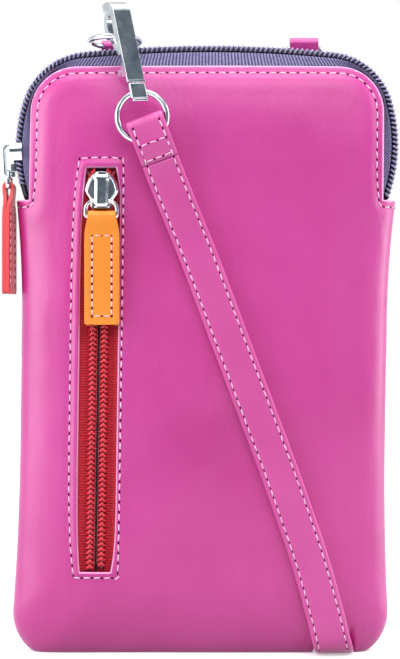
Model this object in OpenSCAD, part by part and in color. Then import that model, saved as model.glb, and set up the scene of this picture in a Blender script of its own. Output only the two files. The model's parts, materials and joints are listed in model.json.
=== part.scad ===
// Phone pouch in soft leather, standing upright with its back to +Y. A coil zip runs
// round its top, a second zip closes a pocket on its front, and a leather shoulder
// strap is clipped with trigger hooks to two rings on its back edge.

/* [Pouch] */
// Width across the zip at the shoulders
pouch_w = 115; // [110:0.5:122]
// Height from the floor to the top of the zip
pouch_h = 181.5; // [176:0.5:190]
// Depth of the pouch at its middle
pouch_d = 22; // [20.5:0.1:24]
// How far in the leather's waist lies from the zip's widest place, on each side
waist_in = 2.8; // [1.5:0.1:4.5]
// How far in the leather lies at the step below the zip
step_in = 0.7; // [0:0.1:2]
// How far in the leather lies near the floor
base_in = 1.3; // [0:0.1:3]
// Thickness of the leather
leather = 1.4; // [1:0.1:1.6]
// Lean of the soft body to the right, in degrees
lean = 0.8; // [0:0.1:1]

/* [Main zip] */
// Drop from the top of the zip to its ends
zip_drop = 46.6; // [43:0.2:52]
// Drop from the top of the zip to its widest place
shoulder_drop = 30.5; // [29:0.5:33]
// Radius of the zip's curve down each side
side_r = 47; // [44:1:60]
// Radius of the zip's curve at each top corner
corner_r = 21; // [18:0.5:22]
// Spacing of the coil's loops
coil_pitch = 1.48; // [1.2:0.02:2]

/* [Front pocket] */
// Drop from the top of the zip to the pocket's opening
pocket_drop = 37.6; // [36:0.2:60]
// Height of the opening's lower end
pocket_foot = 24.9; // [20:0.5:45]
// Width of the pocket's opening
pocket_w = 11.6; // [11.2:0.1:13]
// Distance of the pocket's middle left of the pouch's middle
pocket_x = 30.7; // [28:0.1:32]

/* [Sliders and pulls] */
// Length of a slider's body
slider_l = 8.6; // [8:0.1:9]
// Width of a slider's body at its widest
slider_w = 9.8; // [9.4:0.1:10.4]
// Width of a pull's leather
tab_w = 10.4; // [9:0.1:11]
// Length of a pull's leather below its link
tab_l = 32.6; // [26:0.2:36]
// Thickness of a pull's leather, two plies together
tab_t = 2.4; // [2:0.1:2.6]

/* [Strap] */
// Width of the strap
strap_w = 11.2; // [10:0.1:12]
// Thickness of the strap, two plies together
strap_t = 2.4; // [2:0.1:2.6]
// Middle radius of the strap's rings
strap_ring_r = 7.25; // [6.8:0.05:7.6]
// Thickness of the strap rings' wire
strap_wire = 1.7; // [1.5:0.05:1.8]

/* [Rings and hooks] */
// Middle radius of the rings on the pouch's back edge
tab_ring_r = 7.5; // [7.2:0.05:7.8]
// Thickness of their wire
tab_wire = 1.6; // [1.4:0.05:1.7]
// Width of the leather tabs that hold them
ring_tab_w = 8.6; // [7:0.1:9]
// Thickness of a hook's bar across its width
hook_t = 4; // [3.6:0.1:4.4]
// Thickness of a hook's bar along its profile
hook_bar = 2; // [1.7:0.1:2.2]
// Inner radius of a hook's bend
hook_r = 3.2; // [3:0.1:3.4]

/* [Hidden] */

// One overrun serves every cut, one gap every pair of soft faces
over = 1;
soft_gap = 0.3;
seam_gap = 0.3;
run_gap = 0.2;
round_fn = 48;

// Leather form: depth at the start of the crown, crown, and how far the edge curve runs
crown = 0.8;
edge_share = 0.5;
body_inset = 0.7;
base_sink = 1.6;
base_r = 12;
base_flare_h = 50;
step_flare_h = 36;
lean_z = 48;
anchor_share = 0.31;

// Where the strap passes under the pouch, the bottom is pushed up
notch_x = 39.8;
notch_half = 7.2;
notch_ramp = 3;
notch_h = 5.4;
notch_fade = 16;

// Zip chain and tape
chain_t = 2.6;
coil_half = 3.45;
coil_gap = 0.45;
coil_heel = 0.9;
loop_share = 0.55;
loop_slant = 0.7;
tape_t = 0.55;
leather_edge_in = 4.75;
leather_edge_top = 6.9;
leather_edge_r = 13.5;
tape_under = 4;
tape_lift = 0.02;
heel_y = 3.55;
tape_over = 3.7;
tape_ramp = 1.3;
// The pocket tape's left and right halves: half width, and rise to the leather
tape_wide = [7.5, 9.7];
tape_rise = [0.35, 0.85];

// Linings
cloth = 0.4;
pocket_bag_w = 78;
pocket_bag_past = 6.5;
pocket_bag_x = 8;
pocket_bag_r = 5;
pocket_deep = 3.4;

// Slider, crown and link
plate_t = 1;
under_t = 0.8;
under_gap = 0.35;
main_under_w = 5;
channel_gap = 0.25;
post_half = 0.25;
post_l = 2.4;
post_in = 0.2;
nose_w_share = 0.66;
tail_w_share = 0.7;
waist_share = 0.14;
crown_w = 4.1;
crown_bar = 0.8;
eye_h = 1.65;
crown_l = 9.9;
crown_top = 3.9;
link_wire = 1.3;
link_w = 9.2;
link_h = 4.6;
link_top_r = 2.6;
link_low_r = 0.75;
tab_ply = 1.05;
tab_neck_w = 7.5;
tab_neck_l = 4.5;
tab_shoulder_l = 3;
tab_corner = 1;
tab_spread_l = 5;
bar_gap = 0.15;
tab_meet = 3;

// Pocket zip, measured in the pocket's own frame
pocket_crest = -10.3;
slider_down = 5.5;
coil_end = 4.9;

// Main slider: its place on the side curve, below the widest place, in degrees
main_slider_deg = 3.8;

// Tab rings and their leather
ring_ply = 1;
left_tab_x = -26;
left_ring_y = 4.7;
left_ring_up = 0.2;
left_ring_deg = 4;
right_tab_x = 31;
right_ring_y = 7.6;
right_ring_up = 1.5;
right_ring_deg = 40;
tab_foot_down = 21.5;
tab_foot_y = 9.9;
tab_bend_down = 8;
tab_bend_y = 8.7;
fold_steps = 16;

// Left strap end: top of its fold below the zip's top, and its slope in degrees
left_fold_x = -17.2;
left_ring_x = -17.5;
left_chain_y = -14.9;
left_fold_down = 23;
left_ring_down = 23.1;
left_slope_deg = 21;
// Right strap end hangs straight below its ring
right_hook_x = 31;
right_hook_y = 21;
right_hook_down = 30.5;
loop_l = 14;
loop_open = 2.6;
loop_flat = 9;
loop_close = 12.6;
loop_shut = 11.2;
strap_ply = 1.1;

// Hooks, in their own frame with the collar at the bottom
hook_lean_deg = 11.6;
hook_back_deg = 10;
left_jaw_deg = 120;
right_jaw_deg = 270;
bend_x = 3;
bend_z = 19.6;
nose_z = 16.5;
collar_r = 2.6;
collar_h = 2.6;
base_h = 5.4;
base_x = 3.4;
gate_x = 1.5;
gate_z = 6.2;
gate_t = 2.2;
gate_bar = 1.5;
gate_slot = 2.7;
pin_r = 0.6;
pin_clear = 0.05;
knob_r = 1;
knob_x = 4.5;
knob_z = 4.6;
eye_r = 2.1;
eye_wire = 1.4;
eye_drop = 2.9;
shank_r = 1;
shank_clear = 0.05;
shank_l = 4.3;
eye_lift = 0.25;

// Strap route: each row is a place and the way the strap's width points there
front_route = [
    [[-11, -14.2, 142.3], [0.93, 0, 0.36]],
    [[-8, -13.4, 134.8], [0.93, 0, 0.36]],
    [[-4, -12.8, 125], [0.93, 0, 0.36]],
    [[0, -12.8, 115], [0.93, 0, 0.36]],
    [[7.5, -12.8, 95], [0.94, 0, 0.34]],
    [[15, -12.8, 75], [0.95, 0, 0.32]],
    [[22.5, -12.7, 55], [0.96, 0, 0.29]],
    [[29.5, -12.5, 35], [0.96, 0, 0.27]],
    [[32.8, -12.3, 24.5], [0.97, 0, 0.24]],
    [[36, -12, 13], [0.98, 0, 0.2]],
    [[37.6, -11.6, 6.5], [0.99, 0, 0.14]],
    [[38.5, -10.4, 3.4], [1, 0, 0.06]],
    [[39.1, -7.6, 1.8], [1, 0, 0.02]],
    [[39.6, -3, 1.4], [1, 0, 0]],
    [[40, 3, 1.4], [1, 0, 0]],
    [[40.4, 9, 1.4], [1, 0, 0]],
    [[41.2, 16, 2.7], [0.98, 0, 0.2]],
    [[42.4, 23, 4.7], [0.8, 0, 0.6]],
    [[43.6, 30, 5.8], [0.5, 0, 0.87]],
    [[44.6, 37, 5.9], [0.2, 0, 0.98]],
    [[45.1, 44, 5.8], [0.05, 0, 1]],
    [[45.2, 52, 5.8], [0, 0, 1]]];
back_route = [
    [[37.4, 36.2, 6], [0.1, 0, 1]],
    [[35.4, 30.8, 7.6], [0.4, 0, 0.92]],
    [[33.4, 26.4, 11.4], [0.75, 0, 0.66]],
    [[32.1, 23, 17], [0.93, 0, 0.37]],
    [[31.4, 21, 25], [1, 0, 0.1]],
    [[31, 19.4, 38], [1, 0, 0]],
    [[31, 18.3, 55], [1, 0, 0]],
    [[31, 18, 75], [1, 0, 0]],
    [[31, 18.8, 95], [1, 0, 0]],
    [[31, 20.4, 112], [1, 0, 0]]];

// Strap roll: centre on the floor, outer radius where the front run comes in, inner
// radius, spacing of neighbouring layers, and where the back run leaves, in degrees
roll_at = [10, 52, 5.8];
roll_r = 35.2;
roll_core = 12.7;
roll_step = 4.5;
roll_out_deg = 340;

// Derived sizes
waist_w = pouch_w - 2 * waist_in;
step_w = pouch_w - 2 * step_in;
base_w = pouch_w - 2 * base_in;
zip_end = pouch_h - zip_drop;
pocket_l = pouch_h - pocket_drop - pocket_foot;
pocket_z = pocket_foot + pocket_l / 2;
pocket_bag_l = pocket_l + 2 * pocket_bag_past;
leather_edge_w = pouch_w - 2 * leather_edge_in;
slider_rest = pocket_l / 2 - slider_down;
left_ring_z = pouch_h + left_ring_up;
right_ring_z = pouch_h + right_ring_up;
tab_foot_z = pouch_h - tab_foot_down;
tab_bend_z = pouch_h - tab_bend_down;
left_fold = [left_fold_x, left_chain_y, pouch_h - left_fold_down];
left_ring_at = [left_ring_x, left_chain_y, pouch_h - left_ring_down];
right_hook_at = [right_hook_x, right_hook_y, pouch_h - right_hook_down];
edge_d = pouch_d / 2 - crown;
form_w = pouch_w - 2 * body_inset;
half_w = form_w / 2;
side_at = [pouch_w / 2 - side_r, pouch_h - shoulder_drop];
low_deg = -asin((side_at[1] - zip_end) / side_r);
// The side curve turns into the corner curve so that the top keeps its crown
top_crown = 1.77;
shoulder_deg = asin((shoulder_drop - corner_r - top_crown) / (side_r - corner_r));
corner_at = side_at + (side_r - corner_r) * [cos(shoulder_deg), sin(shoulder_deg)];
top_rise = pouch_h - corner_r - corner_at[1];
top_r = corner_r + (corner_at[0] * corner_at[0] + top_rise * top_rise) / (2 * top_rise);
top_at = [0, pouch_h - top_r];
top_deg = atan2(corner_at[1] - top_at[1], corner_at[0]);
side_len = side_r * (shoulder_deg - low_deg) * PI / 180;
corner_len = corner_r * (top_deg - shoulder_deg) * PI / 180;
top_len = top_r * (90 - top_deg) * PI / 180;
half_len = side_len + corner_len + top_len;

function lean_x(z) = (z - lean_z) * tan(lean);
function unit(v) = v / norm(v);
function mix(a, b, f) = a + (b - a) * f;
function ramp(a, b, x) = min(1, max(0, (x - a) / (b - a)));
function ease(f) = f * f * (3 - 2 * f);
function steps(n, a, b) = [for (i = [0:n]) mix(a, b, i / n)];

// A place on the zip's crest, s along it from the right end, o outward of the crest
function crest_half(s, o) =
    s < side_len ? arc_at(side_at, side_r + o, low_deg + s / side_r * 180 / PI)
    : s < side_len + corner_len
    ? arc_at(corner_at, corner_r + o, shoulder_deg + (s - side_len) / corner_r * 180 / PI)
    : arc_at(top_at, top_r + o,
        top_deg + (s - side_len - corner_len) / top_r * 180 / PI);
function arc_at(c, r, deg) = c + r * [cos(deg), sin(deg)];
function crest_at(s, o) =
    s <= half_len ? crest_half(s, o) : flip(crest_half(2 * half_len - s, o));
function flip(p) = [-p[0], p[1]];
function leaned(p) = [p[0] + lean_x(p[1]), p[1]];

// Stations along the zip: few on the gentle curves, more round the corners
crest_stations = concat(
    steps(4, 0, side_len), steps(7, side_len, side_len + corner_len),
    steps(8, side_len + corner_len, 2 * half_len - side_len - corner_len),
    steps(7, 2 * half_len - side_len - corner_len, 2 * half_len - side_len),
    steps(4, 2 * half_len - side_len, 2 * half_len));
// The leather's edge beside the zip, at matching stations
edge_half = leather_edge_w / 2;
edge_top = pouch_h - leather_edge_top;
edge_r_z = edge_top - leather_edge_r;
edge_r_x = edge_half - leather_edge_r;
edge_stations = concat(
    [for (f = steps(4, 0, 1)) [edge_half, mix(zip_end, edge_r_z, f), 0]],
    [for (a = steps(7, 0, 90))
        [edge_r_x + leather_edge_r * cos(a), edge_r_z + leather_edge_r * sin(a), a]],
    [for (f = steps(8, edge_r_x, -edge_r_x)) [f, edge_top, 90]],
    [for (a = steps(7, 90, 180))
        [leather_edge_r * cos(a) - edge_r_x, edge_r_z + leather_edge_r * sin(a), a]],
    [for (f = steps(4, 0, 1)) [-edge_half, mix(edge_r_z, zip_end, f), 180]]);
// Outline of the leather's edge, moved outward by o; its straight top needs no stations
function edge_out(o) = [for (e = edge_stations) if (abs(e[0]) > edge_r_x - soft_gap)
    leaned([e[0] + o * cos(e[2]), e[1] + o * sin(e[2])])];

// Half width of the leather at a height below the zip
function side_x(z) = waist_w / 2
    + (base_w - waist_w) / 2 * pow(1 - ramp(base_r, base_flare_h + base_r, z), 2)
    + (step_w - waist_w) / 2 * pow(ramp(zip_end - step_flare_h, zip_end, z), 2);
corner_x = side_x(base_r) - base_r;

// Right half of the seam outline, from the bottom's middle up to the top's middle
function half_outline(n) = concat(
    [for (x = steps(9 * n, 0, corner_x)) [x, -base_sink]],
    [for (a = steps(3 * n, -90, 0)) [corner_x + base_r * cos(a), base_r
        + (base_r + base_sink) * sin(a)]],
    [for (z = steps(6 * n, base_r, zip_end)) if (z > base_r) [side_x(z), z]],
    [for (s = crest_stations) if (s > side_len / 2 && s < half_len) crest_half(s, -body_inset)]);
function outline(n) = concat(half_outline(n), [[0, pouch_h - body_inset]],
    [for (i = [len(half_outline(n)) - 1:-1:1]) flip(half_outline(n)[i])]);

// The leather form: rings drawn in from the outline to the middle line, deeper as they go
function anchor(p) = [0, min(max(p[1], anchor_share * pouch_h), (1 - anchor_share) * pouch_h)];
function depth_share(t) = t < edge_share ? sqrt(1 - pow(1 - t / edge_share, 2)) : 1;
function form_depth(t, d) = d * depth_share(t) + crown * ramp(edge_share, 1, t);
function notch_at(x, z, grow) = (notch_h + grow)
    * ease(1 - ramp(notch_half, notch_half + notch_ramp, abs(x - notch_x) - grow))
    * pow(1 - ramp(-base_sink, notch_fade, z), 2);
function form_point(p, t, inset, most) =
    let (q = mix(p - inset * unit(p - anchor(p)), anchor(p), t))
    let (y = min(form_depth(t, edge_d - inset), most))
    let (lifted = q[1] + notch_at(q[0], q[1], inset))
    [q[0] + lean_x(q[1]), -y - seam_gap / 2, max(lifted, inset)];

// A half shell between two such forms, open at the seam plane
ring_shares = [0, 0.012, 0.03, 0.06, 0.1, 0.17, 0.27, 0.4, 0.62];
coarse_shares = [0, 0.03, 0.1, 0.2, 0.4];
module half_shell(rows, shares, inset, wall, most) {
    n = len(rows);
    k = len(shares);
    deep = most - wall;
    outer = [for (t = shares) for (p = rows) form_point(p, t, inset, most)];
    inner = [for (t = shares) for (p = rows) form_point(p, t, inset + wall, deep)];
    spine = [for (p = rows) form_point(p, 1, inset, most)];
    spine_in = [for (p = rows) form_point(p, 1, inset + wall, deep)];
    points = concat(outer, spine, inner, spine_in);
    base = n * (k + 1);
    bands = [for (j = [0:k - 1]) for (i = [0:n - 1])
        let (a = j * n + i, b = j * n + (i + 1) % n, c = a + n, d = b + n)
        each [[a, d, b], [a, c, d], [base + a, base + b, base + d],
            [base + a, base + d, base + c]]];
    rim = [for (i = [0:n - 1])
        let (a = i, b = (i + 1) % n)
        each [[a, base + b, base + a], [a, b, base + b]]];
    polyhedron(points, [for (f = concat(bands, rim))
        if (points[f[0]] != points[f[1]] && points[f[1]] != points[f[2]]
            && points[f[0]] != points[f[2]]) f]);
}

// Turn an outline in X and Z into a solid that is y0 to y1 deep
module slab(points, y0, y1) {
    translate([0, y1, 0])
        rotate([90, 0, 0])
            linear_extrude(y1 - y0)
                polygon(points);
}

// Everything above the zip's ends that lies outside the leather's edge
module zip_window(o) {
    far = 2 * pouch_h;
    edge = edge_out(o);
    slab(concat([[far, zip_end], [far, far], [-far, far], [-far, zip_end]],
        [for (i = [len(edge) - 1:-1:0]) edge[i]]), -far, far);
}

module pocket_frame() {
    translate([lean_x(pocket_z) - pocket_x, 0, pocket_z])
        rotate([0, lean, 0])
            children();
}

module front_panel() color("#d951a6") {
    difference() {
        half_shell(outline(2), ring_shares, 0, leather, pouch_d);
        zip_window(0);
        pocket_frame()
            cube([pocket_w, 2 * pouch_d, pocket_l], center = true);
    }
}

module back_panel() color("#d951a6") {
    difference() {
        mirror([0, 1, 0])
            half_shell(outline(2), ring_shares, 0, leather, pouch_d);
        zip_window(0);
    }
}

lining_inset = leather + 2 * soft_gap;
front_lining_y = pocket_crest + chain_t + pocket_deep - 2 * soft_gap;

// The front lining lies behind the pocket's bag, so it is flattened there
module lining_front() color("#8f7f9c") {
    difference() {
        half_shell(outline(2), coarse_shares, lining_inset, cloth,
            -front_lining_y - seam_gap / 2);
        zip_window(-tape_under - soft_gap);
    }
}

module lining_back() color("#8f7f9c") {
    difference() {
        mirror([0, 1, 0])
            half_shell(outline(2), coarse_shares, lining_inset, cloth, pouch_d);
        zip_window(-tape_under - soft_gap);
    }
}

// Back sheet of the pocket's bag
module pocket_lining() color("#8f7f9c") {
    translate([lean_x(pocket_z) - pocket_bag_x, front_lining_y - cloth, pocket_z])
        rotate([90, 0, 0])
            linear_extrude(cloth)
                rounded(pocket_bag_w, pocket_bag_l, pocket_bag_r);
}

module rounded(w, l, r) {
    for (x = [-1, 1], z = [-1, 1])
        translate([x * (w / 2 - r), z * (l / 2 - r)])
            circle(r, $fn = round_fn);
    square([w - 2 * r, l], center = true);
    square([w, l - 2 * r], center = true);
}

// How far out the leather's inner face lies at a place near the zip, less a gap
seam = outline(2);
function leather_y(q) =
    let (a = anchor([0, pouch_h]), v = q - a)
    let (reach = [for (i = [0:len(seam) - 2]) let (p = seam[i] - a, r = seam[i + 1] - a)
        if (cross(v, p) <= 0 && cross(v, r) > 0) cross(p, r - p) / cross(unit(v), r - p)][0])
    form_depth(1 - norm(v) / (reach - leather), edge_d - leather) + seam_gap / 2 - soft_gap;

// Tape of the main zip: a woven strip from under the coil to under the leather's edge
module zip_tape() {
    n = len(crest_stations);
    rows = [for (i = [0:n - 1])
        let (s = crest_stations[i], e = edge_stations[i])
        let (inner = crest_at(s, -chain_t - tape_t))
        let (outer = crest_at(s, -chain_t - tape_lift))
        let (dir = [cos(e[2]), sin(e[2])], edge = [e[0], e[1]])
        let (y = leather_y(edge), y_in = leather_y(edge - tape_under * dir))
        [for (q = [[inner, coil_gap], [inner, heel_y - tape_t],
            [edge - tape_t / 2 * dir, y - tape_t], [edge - tape_under * dir, y_in - tape_t],
            [edge - tape_under * dir, y_in], [edge + soft_gap * dir, y],
            [outer, heel_y], [outer, coil_gap]])
            [q[0][0] + lean_x(q[0][1]), -q[1], q[0][1]]]];
    tube(rows);
}

// A closed strip through rows of points, its ends flat
module tube(rows) {
    n = len(rows);
    k = len(rows[0]);
    polyhedron([for (r = rows) each r], concat(
        [for (i = [0:n - 2]) for (j = [0:k - 1])
            let (a = i * k + j, b = i * k + (j + 1) % k)
            each [[a, a + k, b], [b, a + k, b + k]]],
        [[for (j = [0:k - 1]) j]], [[for (j = [k - 1:-1:0]) (n - 1) * k + j]]));
}

module zip_tape_front() color("#5c5580") {
    zip_tape();
}

module zip_tape_back() color("#5c5580") {
    mirror([0, 1, 0])
        zip_tape();
}

// One side of the main zip's coil: a heel band with slanted loops standing on it
loops = floor(2 * half_len / coil_pitch) - 1;
module zip_coil(slant) {
    tip = coil_pitch * loop_share;
    comb = [for (i = [0:loops - 1])
        let (s = (i + (1 - loop_share) / 2) * coil_pitch)
        each [crest_at(s, -chain_t + coil_heel), crest_at(s + slant, 0),
            crest_at(s + slant + tip, 0), crest_at(s + tip, -chain_t + coil_heel)]];
    foot = [for (i = [len(crest_stations) - 1:-1:0])
        crest_at(min(crest_stations[i], loops * coil_pitch), -chain_t)];
    slab([for (p = concat(comb, foot)) leaned(p)], -coil_half, -coil_gap);
}

module zip_coil_front() color("#3d3a5e") {
    zip_coil(loop_slant);
}

module zip_coil_back() color("#3d3a5e") {
    mirror([0, 1, 0])
        zip_coil(0);
}

// Half of the pocket zip's tape, flat under the chain and raised under the leather
module pocket_tape(wide_x, rise) {
    flat_x = coil_half + tape_ramp;
    rise_x = flat_x + tape_ramp;
    y0 = pocket_crest + chain_t;
    y1 = y0 - rise;
    l = pocket_l + 2 * tape_over;
    translate([0, 0, -l / 2])
        linear_extrude(l)
            polygon([[coil_gap, y0], [flat_x, y0], [rise_x, y1], [wide_x, y1],
                [wide_x, y1 + tape_t], [rise_x + tape_t / 2, y1 + tape_t],
                [flat_x + tape_t / 2, y0 + tape_t], [coil_gap, y0 + tape_t]]);
}

module pocket_tape_left() color("#cb1c35") {
    pocket_frame()
        mirror([1, 0, 0])
            pocket_tape(tape_wide[0], tape_rise[0]);
}

module pocket_tape_right() color("#cb1c35") {
    pocket_frame()
        pocket_tape(tape_wide[1], tape_rise[1]);
}

// Half of the pocket zip's coil: a heel band with loops that rise to the middle
module pocket_coil() {
    low = coil_end - pocket_l / 2;
    n = floor((pocket_l - coil_end - loop_slant - soft_gap) / coil_pitch);
    heel_x = coil_half - coil_heel;
    tip = coil_pitch * loop_share;
    slab(concat([for (i = [0:n - 1])
        let (z = low + i * coil_pitch)
        each [[heel_x, z], [coil_gap, z + loop_slant], [coil_gap, z + loop_slant + tip],
            [heel_x, z + tip]]],
        [[heel_x, low + n * coil_pitch], [coil_half, low + n * coil_pitch],
        [coil_half, low]]), pocket_crest, pocket_crest + chain_t);
}

module pocket_coil_left() color("#dd2f41") {
    pocket_frame()
        mirror([1, 0, 0])
            pocket_coil();
}

module pocket_coil_right() color("#dd2f41") {
    pocket_frame()
        pocket_coil();
}

// Outline of a slider, nose up, with a drawn-in waist and a tail under the crown
function slider_outline(w, nose) = [for (p = [
    [nose_w_share * w / 2, slider_l / 2], [nose_w_share * w / 2, slider_l / 4],
    [w / 2, -waist_share * slider_l], [w / 2, -slider_l / 4 - waist_share],
    [tail_w_share * w / 2, -slider_l / 2]]) [p[0], nose * p[1]]];
function mirrored(half) = concat(half, [for (i = [len(half) - 1:-1:0]) flip(half[i])]);

// Slider body: its crest plane is y = 0, it faces -Y, and nose is 1 for up, -1 for down
module slider(nose, under_w) {
    top = -run_gap;
    under = chain_t + tape_t + under_gap;
    tail_z = crown_l - crown_top;
    difference() {
        slab(mirrored(slider_outline(slider_w, nose)), top - plate_t, chain_t - run_gap);
        translate([-coil_half - channel_gap, top, -slider_l])
            cube([2 * (coil_half + channel_gap), chain_t, 2 * slider_l]);
    }
    slab([[-crown_w / 2, -tail_z], [crown_w / 2, -tail_z], [crown_w / 2, crown_top],
        [-crown_w / 2, crown_top]], top - plate_t, top);
    slab(mirrored(slider_outline(under_w, nose)), under, under + under_t);
    translate([-post_half, top - plate_t / 2,
        nose > 0 ? slider_l / 2 - post_in - post_l : post_in - slider_l / 2])
        cube([2 * post_half, under + plate_t / 2 + under_t / 2 + run_gap, post_l]);
}

// Crown: a staple over the slider that the link hangs in
module slider_crown() {
    face = -run_gap - plate_t;
    out = face - eye_h - crown_bar;
    low = crown_top - crown_l;
    rotate([90, 0, 90])
        linear_extrude(crown_w, center = true)
            polygon([[face, crown_top], [out + 1.5 * crown_bar, crown_top],
                [out, crown_top - 1.5 * crown_bar], [out, low + 1.5 * crown_bar],
                [out + crown_bar, low], [face, low], [face, low + crown_bar],
                [out + 1.5 * crown_bar, low + crown_bar],
                [out + crown_bar, low + 2 * crown_bar],
                [out + crown_bar, crown_top - 2 * crown_bar],
                [out + 2 * crown_bar, crown_top - crown_bar],
                [face, crown_top - crown_bar]]);
}

// Where the link's top bar runs, in the slider's frame
eye_y = -run_gap - plate_t - eye_h / 2;
eye_z = crown_top - crown_l + crown_bar + link_wire / 2 + bar_gap;

module bar(p, l) {
    translate(p)
        rotate([0, 90, 0])
            cylinder(r = link_wire / 2, h = l, center = true, $fn = round_fn);
}

module elbow(p, r, start) {
    translate(p)
        rotate([90, 0, 0])
            rotate([0, 0, start])
                rotate_extrude(angle = 90, $fn = round_fn)
                    translate([r, 0])
                        circle(link_wire / 2, $fn = round_fn);
}

// Link: wide round shoulders above, a straight bar below; its top bar is at the origin
module link() {
    top_x = link_w / 2 - link_top_r;
    low_x = link_w / 2 - link_low_r;
    bar([0, 0, 0], 2 * top_x);
    bar([0, 0, -link_h], 2 * low_x);
    elbow([top_x, 0, -link_top_r], link_top_r, 0);
    elbow([-top_x, 0, -link_top_r], link_top_r, 90);
    elbow([low_x, 0, link_low_r - link_h], link_low_r, 270);
    elbow([-low_x, 0, link_low_r - link_h], link_low_r, 180);
    for (x = [-1, 1])
        translate([x * link_w / 2, 0, link_low_r - link_h])
            cylinder(r = link_wire / 2, h = link_h - link_top_r - link_low_r,
                $fn = round_fn);
}

// Half a ring in Y and Z round the X axis, open below: a fold of leather or wire
module fold(inner, outer, w) {
    rotate([90, 0, 90])
        translate([0, 0, -w / 2])
            half_ring(inner, outer, w);
}

module half_ring(inner, outer, w) {
    rotate_extrude(angle = 180, $fn = round_fn)
        translate([inner, 0])
            square([outer - inner, w]);
}

// Two plies below such a fold, wedged apart at the top and meeting in a notch
module plies(inner, outer, spread, meet, half, l, w) {
    rotate([90, 0, 90])
        linear_extrude(w, center = true)
            polygon([[-outer, 0], [-inner, 0], [0, -meet], [inner, 0], [outer, 0],
                [half, -spread], [half, -l], [-half, -l], [-half, -spread]]);
}

// Pull: leather folded round the link's bar, which is at the origin
module pull_tab() {
    hole = link_wire / 2 + bar_gap;
    outer = hole + tab_ply;
    intersection() {
        union() {
            fold(hole, outer, tab_w);
            plies(hole, outer, tab_spread_l, tab_meet * hole, tab_t / 2, tab_l, tab_w);
        }
        slab(mirrored([[tab_w / 2 - tab_corner, -tab_l], [tab_w / 2, tab_corner - tab_l],
            [tab_w / 2, -tab_neck_l - tab_shoulder_l], [tab_neck_w / 2, -tab_neck_l],
            [tab_neck_w / 2, 2 * outer]]), -2 * outer, 2 * outer);
    }
}

module pocket_slider_frame() {
    pocket_frame()
        translate([0, pocket_crest, slider_rest])
            children();
}

// The main slider's crest place, facing out to the left
main_slider_at = leaned(flip(arc_at(side_at, side_r, -main_slider_deg)));
main_tilt = lean - main_slider_deg;
module main_slider_frame() {
    translate([main_slider_at[0], 0, main_slider_at[1]])
        rotate([0, main_tilt, 0])
            rotate([0, 0, -90])
                children();
}

module main_slider() color("#8d99a3") {
    main_slider_frame()
        slider(-1, main_under_w);
}

module main_slider_crown() color("#9aa5ae") {
    main_slider_frame()
        slider_crown();
}

// The link and the pull hang plumb below the crown's eye
main_eye = [main_slider_at[0] + eye_y * cos(main_tilt) + eye_z * sin(main_tilt),
    0, main_slider_at[1] + eye_z * cos(main_tilt) - eye_y * sin(main_tilt)];
module main_pull_link() color("#8d99a3") {
    translate(main_eye)
        rotate([0, 0, -90])
            link();
}

module main_pull_tab() color("#f35f6a") {
    translate(main_eye - [0, 0, link_h])
        rotate([0, 0, -90])
            pull_tab();
}

module pocket_slider() color("#8d99a3") {
    pocket_slider_frame()
        slider(1, slider_w - plate_t);
}

module pocket_slider_crown() color("#9aa5ae") {
    pocket_slider_frame()
        slider_crown();
}

module pocket_pull_link() color("#8d99a3") {
    pocket_slider_frame()
        translate([0, eye_y, eye_z])
            link();
}

module pocket_pull_tab() color("#fe9c41") {
    pocket_slider_frame()
        translate([0, eye_y, eye_z - link_h])
            pull_tab();
}

module torus(r, wire) {
    rotate_extrude($fn = 2 * round_fn)
        translate([r, 0])
            circle(wire / 2, $fn = round_fn);
}

// Leather tab sewn to the back, rising to a fold that holds the ring's wire
module ring_tab(x, y, z) {
    outer = tab_wire / 2 + bar_gap + ring_ply;
    translate([x, 0, 0])
        rotate([90, 0, 90])
            linear_extrude(ring_tab_w, center = true)
                polygon(concat([[tab_bend_y + 2 * ring_ply, tab_bend_z],
                    [tab_foot_y + 2 * ring_ply, tab_foot_z], [tab_foot_y, tab_foot_z],
                    [tab_bend_y, tab_bend_z]],
                    [for (a = steps(fold_steps, 180, 0)) [y, z] + outer * [cos(a), sin(a)]]));
}

module ring_tab_left() color("#d951a6") {
    difference() {
        ring_tab(left_tab_x, left_ring_y, left_ring_z);
        left_ring_place()
            torus(tab_ring_r, tab_wire + 2 * bar_gap);
    }
}

module ring_tab_right() color("#d951a6") {
    difference() {
        ring_tab(right_tab_x, right_ring_y, right_ring_z);
        right_ring_place()
            torus(tab_ring_r, tab_wire + 2 * bar_gap);
    }
}

// The left ring lies forward over the zip, its rear wire in the tab's fold
module left_ring_place() {
    translate([left_tab_x, left_ring_y, left_ring_z])
        rotate([-left_ring_deg, 0, 0])
            translate([0, -tab_ring_r, 0])
                children();
}

// The right ring hangs behind the pouch, its top wire in the tab's fold
module right_ring_place() {
    translate([right_tab_x, right_ring_y, right_ring_z])
        rotate([90 + right_ring_deg, 0, 0])
            translate([0, -tab_ring_r, 0])
                children();
}

module tab_ring_left() color("#8d99a3") {
    left_ring_place()
        torus(tab_ring_r, tab_wire);
}

module tab_ring_right() color("#8d99a3") {
    right_ring_place()
        torus(tab_ring_r, tab_wire);
}

// End of the strap: an open loop of two plies round the ring, sewn shut below
module strap_end() {
    inner = loop_open / 2;
    outer = inner + strap_ply;
    translate([0, 0, -outer])
        fold(inner, outer, strap_w);
    rotate([90, 0, 90])
        linear_extrude(strap_w, center = true)
            polygon([[-outer, -outer], [-inner, -outer], [-inner, -loop_flat],
                [0, -loop_shut], [inner, -loop_flat], [inner, -outer], [outer, -outer],
                [outer, -loop_flat], [strap_t / 2, -loop_close], [strap_t / 2, -loop_l],
                [-strap_t / 2, -loop_l], [-strap_t / 2, -loop_close],
                [-outer, -loop_flat]]);
}

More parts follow.
